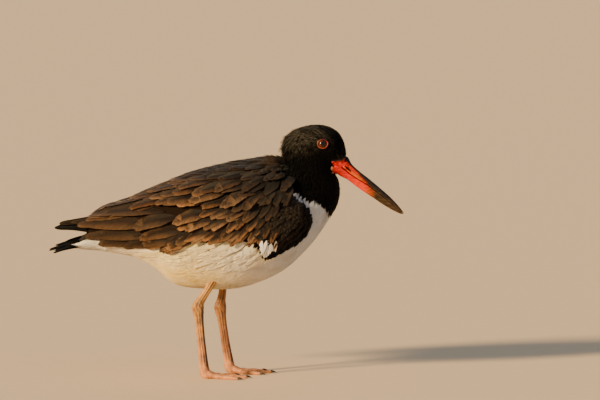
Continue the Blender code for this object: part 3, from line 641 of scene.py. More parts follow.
def feather_material(name, roughness, sheen, relief, streak, fringe=0.0, specular=0.35, inner_glow=0.0):
    """Barbs run out from the shaft in fine lines, with streaks of colour along them and a paler fringe."""
    made = Finish(name, roughness, specular, **{"Sheen Weight": sheen, "Sheen Roughness": 0.45})
    out, down = made.map_place("vane")
    slant = made.sum("SUBTRACT", down, made.sum("ABSOLUTE", out))
    barbs = made.sum("SINE", made.sum("MULTIPLY", slant, BARB_TURN))
    stretched = (made.sum("MULTIPLY", slant, 7.0), made.sum("MULTIPLY", out, 1.2))
    streaks = made.node("CombineXYZ", dict(enumerate(stretched)))
    apart = made.vector("SCALE", {0: made.place(), "Scale": 30.0})
    noise = made.noise(1.6, 4.0, made.vector("ADD", {0: streaks, 1: apart}), Roughness=0.6)
    colour = made.mottled(noise, 1.0 - streak, 1.0 + streak)
    if fringe:
        colour = with_fringe(made, colour, noise, fringe)
    if inner_glow:
        glow = {"Weight": inner_glow, "Radius": (1.0, 0.8, 0.6), "Scale": 2.5 * MM}
        made.fill(made.shader, {"Subsurface " + name: value for name, value in glow.items()})
    height = made.sum("ADD", made.sum("MULTIPLY", barbs, 0.35), made.sum("MULTIPLY", noise, 2.2))
    return made.paint(colour, height, relief, 0.00022)


def with_fringe(made, colour, ragged, fringe):
    """The colour with a paler rim towards the sides and the tip of each feather."""
    across, down = made.map_place("place")
    centred = made.sum("MULTIPLY", made.sum("SUBTRACT", across, 0.5), 2.0)
    rim = made.sum("MULTIPLY", made.sum("POWER", made.sum("ABSOLUTE", centred), 3.0), 0.75)
    most = made.sum("MAXIMUM", rim, made.sum("POWER", down, 7.0))
    uneven = made.sum("ADD", most, made.sum("MULTIPLY", ragged, 0.5))
    limits = {"Value": uneven, "From Min": 0.62, "From Max": 1.25, "To Max": fringe}
    span = made.node("MapRange", limits, interpolation_type="SMOOTHSTEP")
    paler = made.vector("MULTIPLY", {0: colour, 1: (2.1, 2.1, 2.0)})
    return made.node("Mix", {"Factor": span, 6: colour, 7: paler}, 2, data_type="RGBA")


def skin_material():
    """The skin between the feathers, in the colours of the plumage above it."""
    made = Finish("skin", 0.85, 0.1)
    return made.paint(made.tint(), made.noise(900.0), 0.5, 0.0004)


def grid_triangles(rows, columns, closed):
    """Triangles over a grid of points, closed round its columns or not."""
    faces = []
    wrap = columns if closed else columns - 1
    for i in range(rows - 1):
        for k in range(wrap):
            m = (k + 1) % columns
            a, b = i * columns, (i + 1) * columns
            faces += [(a + k, a + m, b + m), (a + k, b + m, b + k)]
    return faces


def make_skin():
    """One skin for torso, neck and head, inside them by the depth of the coat."""
    rows, steps = 150, 32
    t = np.linspace(0.0, BODY.last, rows)[:, None]
    rings = []
    for side in (1.0, -1.0):
        angle = np.linspace(0.0, math.pi, steps + 1)[None, :]
        angle = angle[:, :-1] if side > 0 else angle[:, :0:-1]
        rings.append(BODY.lifted(t + 0 * angle, angle + 0 * t, side, -coat_depth(t) + 0 * angle))
    form = closed_loft(np.concatenate(rings, 1))
    u, v = np.linspace(0.02, 0.97, rows), np.abs(np.linspace(-1.0, 1.0, 2 * steps))
    flat = np.concatenate((unrolled(u, v), ((0.02, 0.5), (0.97, 0.5))))
    smooth_piece("skin", form, "skin", marking(form[0]), flat, ("torso", "neck", "head"))


def face_out(obj):
    """Turns all faces of a closed mesh outwards."""
    work = bmesh.new()
    work.from_mesh(obj.data)
    bmesh.ops.recalc_face_normals(work, faces=work.faces)
    work.to_mesh(obj.data)
    work.free()


def unrolled(u, v):
    """The flat map of a grid of points."""
    return np.stack((np.repeat(u, len(v)), np.tile(v, len(u))), -1)


def smooth_piece(name, form, finish, tint, flat, replaced):
    """A closed piece from points and triangles, smooth, coloured, mapped and handed over."""
    obj = new_mesh_object(name, *form, finish)
    face_out(obj)
    obj.data.shade_smooth()
    set_tint(obj.data, tint)
    if flat is not None:
        set_map(obj.data, "OFBake", flat)
    hand_over(obj, replaced)


def even_pitch(pitch):
    return lambda place: pitch + 0 * place[..., 0]


def small_feathers(side, t, angle, length, half, lift, tilt, seed, outline, stations, **form):
    """Small body feathers from their roots. form says what is unlike the others."""
    plumage, draw = Plumage(), np.random.default_rng(seed)
    count = len(t)
    size = draw.uniform(0.8, 1.2, count)
    tilt = tilt + draw.normal(0, form.get("stray", 0.14), count)
    path_t, path_angle = run(BODY, side, t, angle, length * size, stations - 1, lie_back(tilt))
    share = np.linspace(0, 1, stations)[None, :]
    rise = -coat_depth(path_t) * 0.85 * (1 - share) ** form.get("sink", 1.0)
    rise = rise + (lift * draw.uniform(0.3, 1.4, count))[:, None] * share**1.6
    spine = BODY.lifted(path_t, path_angle, side, rise)
    normal = BODY.slopes(path_t, path_angle, side)[2]
    outline = np.interp(share[0], np.linspace(0, 1, len(outline)), outline)
    tones = form.get("tones", 0.14)
    # Each feather's own tone, varied at random.
    shade = draw.uniform(1 - tones, 1 + tones, count)
    seen = form.get("colour_at", 1)
    base = marking(BODY.point(path_t[:, seen], path_angle[:, seen], side)) * shade[:, None]

    def colour(along_vane, across_vane):
        # Painted shade: each feather darkens towards its root, under the feathers around it.
        root_shade = 1.04 - form.get("root_dark", 0.24) * (1 - along_vane) + 0 * across_vane
        return base[:, None, None, :] * root_shade[..., None]

    half = half * draw.uniform(0.85, 1.15, count)
    patch = tuft_patch(BODY, t, angle, side)
    plumage.add(spine, normal, half, outline, 3, form.get("arch", 0.22), colour, patch, 0.8)
    return plumage


# Shares of a small feather's half width from its root to its tip.
SMALL_OUTLINE = (0.55, 1.0, 0.86, 0.24)
LONG_OUTLINE = (0.5, 0.95, 0.8, 0.16)


def covered_by_wing(place):
    """Places on the body that lie well under the folded wing."""
    x, z = place[..., 0], place[..., 2]
    low = np.interp(x, *np.transpose(WING_LOWER[::-1]))
    high = np.interp(x, (30, 34, 44, 53, 62, 71, 79, 86), (300, 217, 208, 200, 192, 184, 176, 158))
    return (x > -139.0) & (x < 86.0) & (z > low + 7.0) & (z < high - 7.0)


def around_eye(place):
    """Places inside the bare ring round the eye."""
    return np.hypot(place[..., 0] - EYE_PLACE[0], place[..., 2] - EYE_PLACE[1]) < EYE_BARE


def on_bill(place):
    """Places where the base of the bill and its bare skin begin, in the side view."""
    x, z = place[..., 0], seen_height(place)
    return (x > 106.3) & (z < np.interp(x, BARE_EDGE_X, BARE_EDGE_Z)) & (place[..., 2] > 205.2)


def hood_feathers(name, side):
    """Short dark feathers of head and neck."""

    def pitch(place):
        return 1.3 + 0.4 * smooth(225, 195, place[..., 2]) - 0.45 * smooth(9, 3, above_hood_edge(place))

    def keep(place, t, angle):
        free = ~around_eye(place) & ~on_bill(place) & ~covered_by_wing(place)
        return (above_hood_edge(place) > 4.2) & free

    t, angle = spread(BODY, side, (8.4, BODY.last - 0.12), pitch, keep, 21 + int(side))
    place = BODY.point(t, angle, side)
    near_bill, behind = smooth(14.0, 21.0, t), smooth(80, 62, place[:, 0])
    nape, crown = (behind * smooth(low, high, place[:, 2]) for low, high in ((207, 222), (214, 226)))
    length = 8.0 - 3.2 * smooth(9.5, 14.0, t) - 2.0 * near_bill + 3.4 * nape
    half = 1.4 - 0.3 * smooth(9.5, 14.0, t) - 0.25 * near_bill - 0.65 * smooth(9, 3, above_hood_edge(place))
    half = half * (1 - 0.4 * nape)
    lift = 0.25 + 4.5 * crown * np.random.default_rng(33).random(len(t)) ** 2
    form = {"tones": 0.5, "stray": 0.2}
    coat = small_feathers(side, t, angle, length, half, lift, 0.12, 31, SMALL_OUTLINE, 4, **form)
    coat.build(f"hood_{name}", "hood", "black_plumage", even=0.4)


def under_feathers(name, side):
    """White feathers of breast, belly, flanks and the undertail."""

    def pitch(place):
        return 1.55 + 0.2 * smooth(150, 110, place[..., 2])

    def keep(place, t, angle):
        return (above_hood_edge(place) <= 2.5) & ~covered_by_wing(place)

    t, angle = spread(BODY, side, (0.05, 13.2), pitch, keep, 41 + int(side))
    length = 14.0 - 4.0 * smooth(8.0, 11.5, t) + 3.0 * smooth(5.0, 2.0, t)
    half = 1.25 - 0.2 * smooth(8.0, 11.5, t)
    place = BODY.point(t, angle, side)
    flank = smooth(150, 125, place[:, 2]) * smooth(60, 30, place[:, 0]) * smooth(100, 112, place[:, 2])
    lift = 0.12 + 0.3 * flank + 0.5 * smooth(-20, -70, place[:, 0])
    tilt = 0.2 * flank + 0.25 * wander(place, 26.0, 15)
    form = {"stray": 0.09, "sink": 2.4, "tones": 0.05, "root_dark": 0.0, "arch": 0.07, "colour_at": 3}
    coat = small_feathers(side, t, angle, length, half, lift, tilt, 51, LONG_OUTLINE, 5, **form)
    coat.build(f"underparts_{name}", "white", "white_plumage", even=0.75)


def mantle_feathers(name, side):
    """Soft brown feathers between the neck and the wings, that grow out of the hood."""

    def keep(place, t, angle):
        return (place[..., 0] > 8) & (place[..., 0] < 64) & (place[..., 2] > 192) & (t < 11.2)

    t, angle = spread(BODY, side, (6.0, 11.2), even_pitch(2.5), keep, 61 + int(side))
    tilt = 0.35 * smooth(0.2, 1.2, angle)
    coat = small_feathers(side, t, angle, 10.5, 2.1, 1.3, tilt, 71, SMALL_OUTLINE, 5)
    coat.build(f"mantle_{name}", "brown_soft", "brown_plumage")


def vane_outline(stations, widest, root, end):
    """Shares of the half width along a large feather, from its narrow root to its end."""
    s = np.linspace(0, 1, stations)
    return (root + (1 - root) * smooth(0.0, widest, s)) * (1 - (1 - end) * smooth(widest, 1.0, s))


def large_feathers(plumage, sweep, side, places, sizes, centre, paint, seed, form):
    """Feathers placed by their tips, that run back to their roots towards a centre."""
    form = {**VANE, **form}
    draw = np.random.default_rng(seed)
    t, angle = places
    count, stations = len(t), form["stations"]
    length, half, lift = (np.asarray(value, float) * np.ones(count) for value in sizes)
    most = form["uneven"]
    length, half = (value * draw.uniform(1 - most, 1 + most, count) for value in (length, half))
    lift = lift + draw.uniform(-0.4, 0.4, count) * form["loose_lift"]
    way = lie_to(centre, draw.normal(0, form["stray"], count))
    path_t, path_angle = (path[:, ::-1] for path in run(sweep, side, t, angle, length, stations - 1, way))
    share, sink = np.linspace(0, 1, stations)[None, :], form["sink"]
    bow = form["bow"] * draw.uniform(0.3, 1.5, count)[:, None] * np.sin(math.pi * share)
    spine = sweep.lifted(path_t, path_angle, side, (lift[:, None] + sink) * share - sink + bow)
    keep_side(spine, side, MIDLINE + half[:, None] * form["keep_off"])
    normal = sweep.slopes(path_t, path_angle, side)[2]
    vanes(plumage, side, spine, normal, half, paint(sweep.point(t, angle, side)), draw, form)


def keep_side(place, side, least):
    """Keeps places on their own side of the bird's middle plane."""
    place[..., 1] = side * np.maximum(side * place[..., 1], least)


def by_tips(plumage, sweep, side, draw, tier, centre, paint, loose):
    """Large feathers by a tier's line of tips, count, lengths, half widths, lift and form."""
    line, count, lengths, halves, lift, form = tier
    share = np.linspace(0, 1, count) + draw.uniform(-0.3, 0.3, count) / count
    tips = along(line, share) + draw.uniform(-1, 1, (count, 2)) * np.array(loose)
    share = np.clip(share, 0, 1)
    places = places_seen(sweep, tips[:, 0], tips[:, 1])
    sizes = [np.interp(share, (0, 1), ends) for ends in (lengths, halves)]
    sizes.append(0.1 + lift * smooth(0.25, 1.0, places[1]))
    large_feathers(plumage, sweep, side, places, sizes, centre, paint, draw.integers(9999), form)


def vanes(plumage, side, spine, normal, half, tones_here, draw, form):
    """Large feathers along their spines, each worn, leaning and toned in its own way, with painted shade
    towards the root and along the upper edge.
    """
    (count, stations), columns = spine.shape[:2], form["columns"]
    across = unit(np.cross(unit(np.gradient(spine, axis=1)), normal))
    normal = unit(normal + across * (-side * form["lean"] + draw.normal(0, form["roll"], (count, 1, 1))))
    outline = vane_outline(stations, form["widest"], form["root"], form["end"])
    outline = outline[None, :] * (1 - draw.uniform(0, 1, (count, stations)) ** 6 * form["wear"])
    fray = draw.uniform(0, 1, (count, columns)) ** 2 * form["fray"]
    down = side * np.sin(np.linspace(-0.5, 0.5, columns) * math.pi)
    fray = fray + form["slant"] * half[:, None] * (1 - down) / 2
    split = draw.integers(1, columns - 1, count)
    parted = draw.random(count) < form["splits"]
    fray[np.arange(count), split] += parted * draw.uniform(1.5, 4.5, count)
    tones = form["tones"]
    # Each feather's own tone and greyness, varied at random.
    grey = draw.normal(0, 0.4 * tones, count)[:, None] * np.array((0.0, 0.4, 1.0))
    shade = draw.uniform(1 - tones, 1 + tones, count)[:, None] * (1 + grey)
    base, deep = (tone * shade for tone in tones_here)

    def colour(along_vane, across_vane):
        # The shaft's dark streak is the feather's own; the darkening towards the root, under the feather over
        # it, and along the upper edge, tucked under the feather above, is painted shade.
        shaft = hump(across_vane, 0.0, 0.5) * (1 - smooth(0.75, 1.0, along_vane))
        hidden_shade = 1 - smooth(form["shown"], form["shown"] + 0.42, along_vane)
        upper = smooth(0.9, -0.6, side * across_vane + 0 * along_vane)
        dark = np.clip(form["centre_dark"] * shaft + 0.9 * hidden_shade + 0.7 * upper, 0, 1)
        return mix(base[:, None, None, :], deep[:, None, None, :], dark + 0 * fray[:, None, :])

    arch, tip_round = form["arch"], form["tip_round"]
    plumage.add(spine, normal, half, outline, columns, arch, colour, None, tip_round, 0.0, fray)


def laid_feathers(plumage, side, rows, seed, **form):
    """Wing feathers laid between two places as seen: tip x and z, root x and z, half width, lift."""
    rows, share = np.array(rows, float), np.linspace(0, 1, 20)[None, :]
    x = rows[:, 2:3] + (rows[:, 0:1] - rows[:, 2:3]) * share
    z = rows[:, 3:4] + (rows[:, 1:2] - rows[:, 3:4]) * share + 1.2 * np.sin(math.pi * share)
    t, angle = places_seen(WING, x.ravel(), z.ravel())
    angle = np.clip(angle, 0.3, 2.1)
    y = WING.point(t, angle)[:, 1].reshape(x.shape)
    normal = WING.slopes(t, angle, side)[2].reshape(x.shape + (3,))
    lift = rows[:, 5:6] - (2.6 + rows[:, 5:6]) * (1 - share) ** 1.5
    spine = np.stack((x, side * y, z + VIEW_DROP * y), -1) + normal * lift[..., None]
    keep_side(spine, side, MIDLINE + rows[:, 4:5] * 0.3)
    draw, form = np.random.default_rng(seed), {**VANE, "columns": 11, **form}
    vanes(plumage, side, spine, normal, rows[:, 4], wing_tone(spine[:, -1]), draw, form)


def wing_tone(place):
    """Brown with a gold cast low and behind, brightened there by painted warm sunlight; near black above and
    in front, partly the darker feathers near the hood and partly painted shade; with a painted shadow over
    the middle of the wing. The second, deeper tone darkens the shafts and, as painted shade, the parts under
    other feathers.
    """
    # Darker above and in front: partly the feathers' own darker tone near the hood, partly painted shade.
    score = 0.6 * place[..., 0] + 1.2 * (place[..., 2] - 150.0)
    # Painted shadow: a dark patch over the middle of the wing.
    shaded = hump(place[..., 0], 27.0, 14.0) * hump(seen_height(place), 176.0, 16.0)
    dark = np.maximum(0.95 * smooth(-25, 55, score), 0.93 * shaded)
    # Painted warm sunlight: the brown is brighter towards the rear, where the key light falls.
    sunlit_gold = 0.55 + 1.6 * smooth(-110, -32, place[..., 0])
    dusk = BLACK_BROWN * (1 - 0.4 * shaded)[..., None]
    return mix(BROWN * sunlit_gold[..., None], dusk, dark), mix(DARK_BROWN, dusk * 0.7, dark)


def lobe_tone(place):
    """The bend of the wing: blackish, with a pure black band along its lower edge."""
    away = np.hypot(place[..., 0] - LOBE_MIDDLE[0], place[..., 2] - LOBE_MIDDLE[1])
    black = smooth(24, 36, away)
    return mix(BLACK_BROWN * 1.35, BLACK, black), mix(BLACK_BROWN * 0.7, BLACK * 0.8, black)


def plain_tone(base, deep):
    return lambda place: (base + 0 * place, deep + 0 * place)


def places_seen(sweep, x, z):
    """(t, angle) on a form of places that the camera sees at (x, z) of the bird's middle plane."""
    t, angle = sweep.locate(x, z)
    return sweep.locate(x, z + VIEW_DROP * sweep.point(t, angle)[:, 1])


# How a large feather is made, where its tier says nothing else.
VANE = dict(
    stations=12, columns=9, uneven=0.13, loose_lift=1.0, stray=0.08, sink=2.4, bow=0.6, keep_off=0.3,
    lean=0.16, roll=0.09, widest=0.45, root=0.45, end=0.72, wear=0.16, fray=1.6, slant=0.45, splits=0.5,
    tones=0.45, shown=0.35, centre_dark=0.5, arch=0.1, tip_round=1.2,
)
# Centres that feathers fan out from, in the side view.
FAN = (73, 227)
BACK_FAN = (90, 222)
LOBE_FAN = (116, 196)
LOBE_MIDDLE = (44, 158)

# Long feathers of the rear of a wing, lowest first, as rows of laid_feathers.
TERTIALS = (
    (-129.8, 133.4, -60, 133.5, 7.6, 0.2), (-142.8, 140.4, -65, 144.5, 7.6, 0.9),
    (-150.7, 151.8, -68, 156, 8.6, 1.5), (-134.6, 161, -60, 170, 8.4, 1.9),
)
REAR_COVERTS = (
    (-64, 127, -28, 139, 6, 1.2), (-84.9, 133.3, -38, 139, 7, 1.7),
    (-87.7, 138.8, -40, 148, 6.2, 2.3), (-94.5, 148.5, -46, 163, 8, 2.8),
    (-54.6, 153, -14, 168, 7.6, 2.8), (-42, 146, -8, 162, 6, 2.4),
)
SCAPULARS = (
    (-98, 167, -50, 182, 6.4, 2.4), (-72, 171.5, -26, 185, 5.8, 2.9),
    (-76, 183, -30, 197, 6.6, 2.6), (-40, 172.5, 8, 193, 9.4, 3.4), (-50, 186, -6, 202, 8, 3.2),
    (-14, 183, 22, 203, 8, 3.8), (-0.5, 168.5, 26, 193, 8.4, 3.8), (18.5, 165, 36, 190, 5.6, 3.9),
    (14, 182, 38, 204, 6.6, 4.1), (39, 170, 49, 192, 4.6, 4), (46.8, 167.5, 56, 189, 4.2, 4.2),
    (57, 169.5, 64, 189, 3.8, 4),
)

# Tiers of a wing, from the deepest to the topmost: line of tips from rear to front, count,
# length and half width at the rear and at the front, lift of the tips.
TIERS = (
    (((-126, 129.5), (-98, 129), (-72, 127.5), (-61, 126)), 5, (46, 40), (8.2, 7), 0.3, dict(fray=2.2)),
    (((-56, 129.5), (-44, 133), (-32, 134.5), (-20, 134), (-8, 133.5), (4, 132.5), (14, 132),
      (24, 132), (32, 133.5)), 17, (36, 26), (5.6, 3.7), 0.8, dict(fray=2.6, arch=0.2)),
    (((-46, 148), (-34, 146), (-20, 145), (-6, 145), (8, 144.5), (20, 145), (32, 145.5),
      (44, 133)), 13, (34, 24), (5.4, 3.6), 1.4, dict(fray=2.4, arch=0.2)),
    (((-26, 158), (-10, 157), (5, 156.5), (18, 156), (30, 156.5), (42, 159)), 11, (28, 20),
     (5.2, 3.6), 1.9, dict(fray=2.2, arch=0.2)),
    (((-71.8, 172.2), (-57, 170), (-38, 171.5), (-20, 169), (1.5, 167.5), (18.5, 167), (35, 169),
      (49.5, 170.5), (61.5, 174)), 11, (46, 22), (9, 4.6), 2.4, dict(fray=2.8, stations=14)),
    (((-82, 179), (-66, 181), (-47, 183.5), (-28, 184), (-9, 181.5), (10, 179.5), (28, 181),
      (45, 183), (60, 186)), 11, (48, 22), (9.4, 4.8), 2.9, dict(fray=2.6, stations=14)),
    (((-60, 191.5), (-42, 195.5), (-22, 197.5), (-3, 196), (16, 193), (34, 192.5), (52, 196)),
     11, (44, 18), (8.4, 4.6), 3.2, dict(stations=13)),
    (((-20, 206), (-2, 207), (16, 205), (32, 204), (46, 205)), 10, (30, 14), (6.2, 3.6), 3.2, {}),
)
DEEP_TIERS = 4
TIER_LOOSE = (4.2, 2.8)
# Rows of the back by the angle from its ridge: angle, first and last place along the bird, count.
BACK_ROWS = ((0.62, -86, 22, 11), (0.4, -92, 28, 12), (0.22, -100, 33, 16), (0.06, -123, 36, 25))
BACK_TERTIALS = ((-143, 0.75), (-141, 0.5), (-138, 0.28), (-135, 0.1))
LOBE_ROWS = 8
LOBE_FORM = dict(
    stations=6, columns=5, end=0.7, stray=0.16, sink=1.6, splits=0.0, fray=0.9, arch=0.14, bow=0.2,
    tones=0.4, lean=0.06,
)
LOBE_INNER = (
    (26, 141), (32, 144.5), (38, 149), (44, 154), (49, 159.5), (53, 165.5), (56, 171.5), (58.5, 177),
)
LOBE_OUTER = (
    (37.5, 116), (48, 119.8), (59, 126), (69, 131.8), (77, 138.5), (81, 147), (81, 156.5), (77.5, 165.5),
)
PATCH_FORM = dict(stations=7, columns=7, end=0.7, sink=1.0, splits=0.8, fray=2.4, stray=0.12)
WHITE_PATCH = (
    ((34.8, 124), (35.6, 121.8), (37.5, 120.3), (39.6, 120.6), (41.5, 124), (44.5, 126), (47.5, 126.8)),
    17, (17, 10), (1.9, 1.7), 2.4, PATCH_FORM,
)
DARK_NOTCHES = (((26, 128.5), (30, 126.5), (35.5, 118.2)), 5, (9, 9), (1.5, 1.5), 1.8, PATCH_FORM)
PATCH_CROSSED = ((44, 133.6, 52, 152, 2.4, 2.6), (46.6, 128, 53, 136, 1.3, 2.6))
# Black ends of the flight feathers: tip x and z, root x and z, half width, how brown.
PRIMARIES = (
    (-169, 150.2, -100, 150, 6, 0), (-172.1, 148.9, -100, 146.5, 6, 0),
    (-167.2, 153.2, -100, 156, 5, 0.5), (-155.6, 154.4, -100, 158, 4.6, 0.9),
)


def wing_row(x):
    """How far along the wing's rings a place on the back is."""
    return np.interp(x, WING.rings[:, 0], np.arange(WING.last + 1))


def make_wing(name, side):
    """One folded wing, tier over tier."""
    brown, black, white = Plumage(), Plumage(), Plumage()
    draw = np.random.default_rng(100 + int(side))
    primaries(black, side)
    for tier in TIERS[:DEEP_TIERS]:
        by_tips(brown, WING, side, draw, tier, FAN, wing_tone, TIER_LOOSE)
    laid_feathers(brown, side, TERTIALS, 8, tones=0.2, roll=0.03, fray=1.2, splits=0.3, shown=0.05, end=0.6,
                  tip_round=1.3, lean=0.26, root=0.7)
    laid_feathers(brown, side, REAR_COVERTS, 9, fray=2.6, shown=0.15, tones=0.25, lean=0.22)
    for k in range(LOBE_ROWS):
        line = np.array(LOBE_INNER) + (np.array(LOBE_OUTER) - np.array(LOBE_INNER)) * k / (LOBE_ROWS - 1)
        lengths, halves = (14 - 0.5 * k, 12 - 0.6 * k), (2.9 - 0.1 * k, 2.6 - 0.08 * k)
        tier = (line, 12 + 2 * k, lengths, halves, 1.2 - 0.16 * k, LOBE_FORM)
        plumage = brown if k < LOBE_ROWS - 3 else black
        by_tips(plumage, WING, side, draw, tier, LOBE_FAN, lobe_tone, 1.6 - 0.17 * k)
    for tier in TIERS[DEEP_TIERS:]:
        by_tips(brown, WING, side, draw, tier, FAN, wing_tone, TIER_LOOSE)
    laid_feathers(brown, side, SCAPULARS, 10, fray=2.8, shown=0.2, tones=0.3, lean=0.2)
    tips = np.array(BACK_TERTIALS)
    form = dict(stations=20, keep_off=0.15, stray=0.02, end=0.7, tip_round=1.5, shown=0.1, uneven=0.04)
    places = (wing_row(tips[:, 0]), tips[:, 1])
    large_feathers(brown, WING, side, places, (86, 8.0, 0.3), BACK_FAN, wing_tone, 7, form)
    form = dict(stations=13, keep_off=0.12, roll=0.05, lean=0.06, loose_lift=0.4, bow=0.2)
    for turn, first, last, count in BACK_ROWS:
        x = np.linspace(first, last, count) + draw.uniform(-3, 3, count)
        places = (wing_row(x), turn + draw.uniform(-0.04, 0.04, count))
        share = (x - first) / (last - first)
        sizes = (46 - 24 * share, 6.8 - 2.4 * share, 0.1)
        large_feathers(brown, WING, side, places, sizes, BACK_FAN, wing_tone, draw.integers(9999), form)
    by_tips(black, WING, side, draw, DARK_NOTCHES, (46, 172), plain_tone(BLACK * 1.5, BLACK), 0.8)
    by_tips(white, WING, side, draw, WHITE_PATCH, (44, 176), plain_tone(WHITE, WHITE * 0.95), 0.8)
    laid_feathers(brown, side, PATCH_CROSSED, 12, fray=1.8, shown=0.1, tones=0.2)
    brown.build(f"wing_feathers_{name}", "brown", "brown_plumage")
    black.build(f"flight_feathers_{name}", "black_firm", "brown_plumage")
    white.build(f"wing_patch_{name}", "white", "white_plumage", even=0.6)


def primaries(plumage, side):
    """The black ends of the flight feathers, that reach out past the rest."""
    rows, stations = np.array(PRIMARIES), 18
    share = np.linspace(0, 1, stations)[None, :, None]
    order = np.arange(len(rows))
    root = np.stack((rows[:, 2], side * (8.0 + 0.9 * order), rows[:, 3]), -1)
    end = np.stack((rows[:, 0], side * (3.6 + 0.9 * order), rows[:, 1] + VIEW_DROP * 4.0), -1)
    spine = root[:, None, :] * (1 - share) + end[:, None, :] * share
    spine[..., 2] += 2.0 * np.sin(math.pi * share[..., 0])
    normal = unit(np.array((0.1, side * 0.9, 0.4)))[None, None, :] + 0 * spine
    brown = (BLACK_BROWN * 1.3 - BLACK) * rows[:, None, None, 5:6]

    def colour(along_vane, across_vane):
        edge = smooth(0.93, 1.0, along_vane + 0.04 * np.abs(across_vane))[..., None]
        return BLACK + brown * (1 + 3.0 * edge)

    outline = vane_outline(stations, 0.3, 0.8, 0.42)
    plumage.add(spine, normal, rows[:, 4], outline, 9, 0.1, colour, None, 1.8, 0.1)


# White plumes of the flank that come out from under the wing.
PLUME_FAN = (96, 170)
PLUME_FORM = dict(
    stations=14, columns=7, fray=3.6, splits=0.7, arch=0.12, roll=0.1, stray=0.1, tip_round=2.4, end=0.5,
    tones=0.04, centre_dark=0.0, bow=0.8, sink=1.2, widest=0.5, loose_lift=0.8, lean=0.05,
)
# Their tiers: line of tips, count, length and half width at the rear and at the front, lift.
PLUME_TIERS = (
    (((-88, 121), (-64, 118), (-41, 110), (-20, 105.5), (0, 104.5), (18, 105), (30, 109)),
     34, (52, 40), (3.8, 3.4), 0.4),
    (((-92, 125), (-60, 122.5), (-38, 117), (-18, 113), (2, 112), (20, 113), (33, 116)),
     30, (46, 34), (4, 3.4), 1.1),
    (((-56, 128), (-30, 123.5), (-10, 120.5), (8, 119), (22, 120), (34, 122)),
     22, (40, 26), (4.2, 3.4), 1.9),
)


def plume_tone(place):
    # Painted warm sunlight: the plumes are cream all over, more so towards the rear, where the key light
    # falls; the deeper tone is painted shade under other feathers.
    tone = mix(WHITE, SUNLIT_CREAM, 0.3 + 0.45 * smooth(10, -60, place[..., 0]))
    return tone, tone * 0.9


def make_plumes(name, side):
    """Long soft white feathers of the flank, in overlapping folds."""
    plumage, draw = Plumage(), np.random.default_rng(300 + int(side))
    for tier in PLUME_TIERS:
        by_tips(plumage, BODY, side, draw, (*tier, PLUME_FORM), PLUME_FAN, plume_tone, (4.5, 2.6))
    plumage.build(f"flank_plumes_{name}", "white", "white_plumage", even=0.5)


def make_wing_core(name, side):
    """The dark body of the folded wing under its feathers, coloured as painted shade for the gaps between
    them.
    """
    columns, rows = 60, 24
    share = np.linspace(0, 1, columns + 1)
    upper, lower = along(WING_UPPER, share), along(WING_LOWER, share)
    more = 1.0 + 6.0 * smooth(-60, -36, lower[:, 0]) + 4.5 * smooth(-6, 8, lower[:, 0])
    raised = 3.4 + more * smooth(44, 34, lower[:, 0])
    lower[:, 1] += raised * smooth(0, 0.2, 1 - share)
    upper[:, 1] -= 3.5 * smooth(64, 74, upper[:, 0]) * smooth(90, 84, upper[:, 0])
    high, low = (WING.locate(edge[:, 0], edge[:, 1]) for edge in (upper, lower))
    v = np.linspace(0, 1, rows + 1)[None, :]
    t, angle = (first[:, None] + (last - first)[:, None] * v for first, last in zip(high, low))
    rim = np.minimum(np.minimum(share[:, None] * 6, (1 - share[:, None]) * 6), np.minimum(v, 1 - v) * 5)
    layers = []
    for depth in (1.8, 4.4):
        drop = depth + (2.9 - depth) * (1 - np.clip(rim, 0, 1)) + 3.0 * smooth(0.16, 0.0, v)
        place = WING.lifted(t, angle, side, -drop)
        keep_side(place, side, MIDLINE)
        layers.append(place.reshape(-1, 3))
    points, shift, across = np.concatenate(layers), len(layers[0]), rows + 1
    outer = grid_triangles(columns + 1, rows + 1, False)
    faces = outer + [(c + shift, b + shift, a + shift) for a, b, c in outer]
    rims = [(i * across + k, (i + 1) * across + k) for i in range(columns) for k in (0, rows)]
    rims += [(i * across + k, i * across + k + 1) for i in (0, columns) for k in range(rows)]
    for a, b in rims:
        faces += [(a, b, b + shift), (a, b + shift, a + shift)]
    flat = unrolled(share, v[0]) * 0.48 + 0.01
    # Painted shade: the core takes the wing's deeper tone, darker still, so the gaps between the feathers
    # read as shadow.
    tint, flat = wing_tone(points)[1] * 0.8, np.concatenate((flat, flat + 0.5))
    piece, node = f"wing_body_{name}", f"wing_{name}"
    smooth_piece(piece, (points, faces), "skin", tint, flat, (node,))


def make_tail():
    """Black tail feathers in a narrow fan, with white roots under white coverts."""
    plumage, stations = Plumage(), 16
    share = np.linspace(0, 1, stations)

    def colour(along_vane, across_vane):
        return mix(WHITE * 0.9, BLACK, smooth(0.0, 0.05, along_vane + 0.02 * np.abs(across_vane)))

    for side in (1.0, -1.0):
        for tip_x, tip_z, out, end_width in RECTRICES:
            start = np.array((RECTRIX_ROOT[0], side * (0.2 + 7.8 * out), RECTRIX_ROOT[1] + 0.8 - 5.1 * out))
            reach = (tip_x - RECTRIX_ROOT[0]) * share
            fall = (start[2] - tip_z) * share - 1.0 * np.sin(math.pi * share)
            spine = start + np.stack((reach, -side * reach * math.tan(RECTRIX_FAN * out), -fall), -1)
            roll = math.radians(25 + 6 * out)
            normal = unit(np.array((0.3, side * math.sin(roll), math.cos(roll)))) + 0 * spine
            outline, half = vane_outline(stations, 0.35, 0.85, end_width), np.array((RECTRIX_HALF,))
            plumage.add(spine[None], normal[None], half, outline, 9, 0.1, colour, None, 1.0)
    plumage.build("tail_feathers", "black_firm", "tail_plumage")
    for name, side in SIDES:
        make_tail_coverts(name, side)


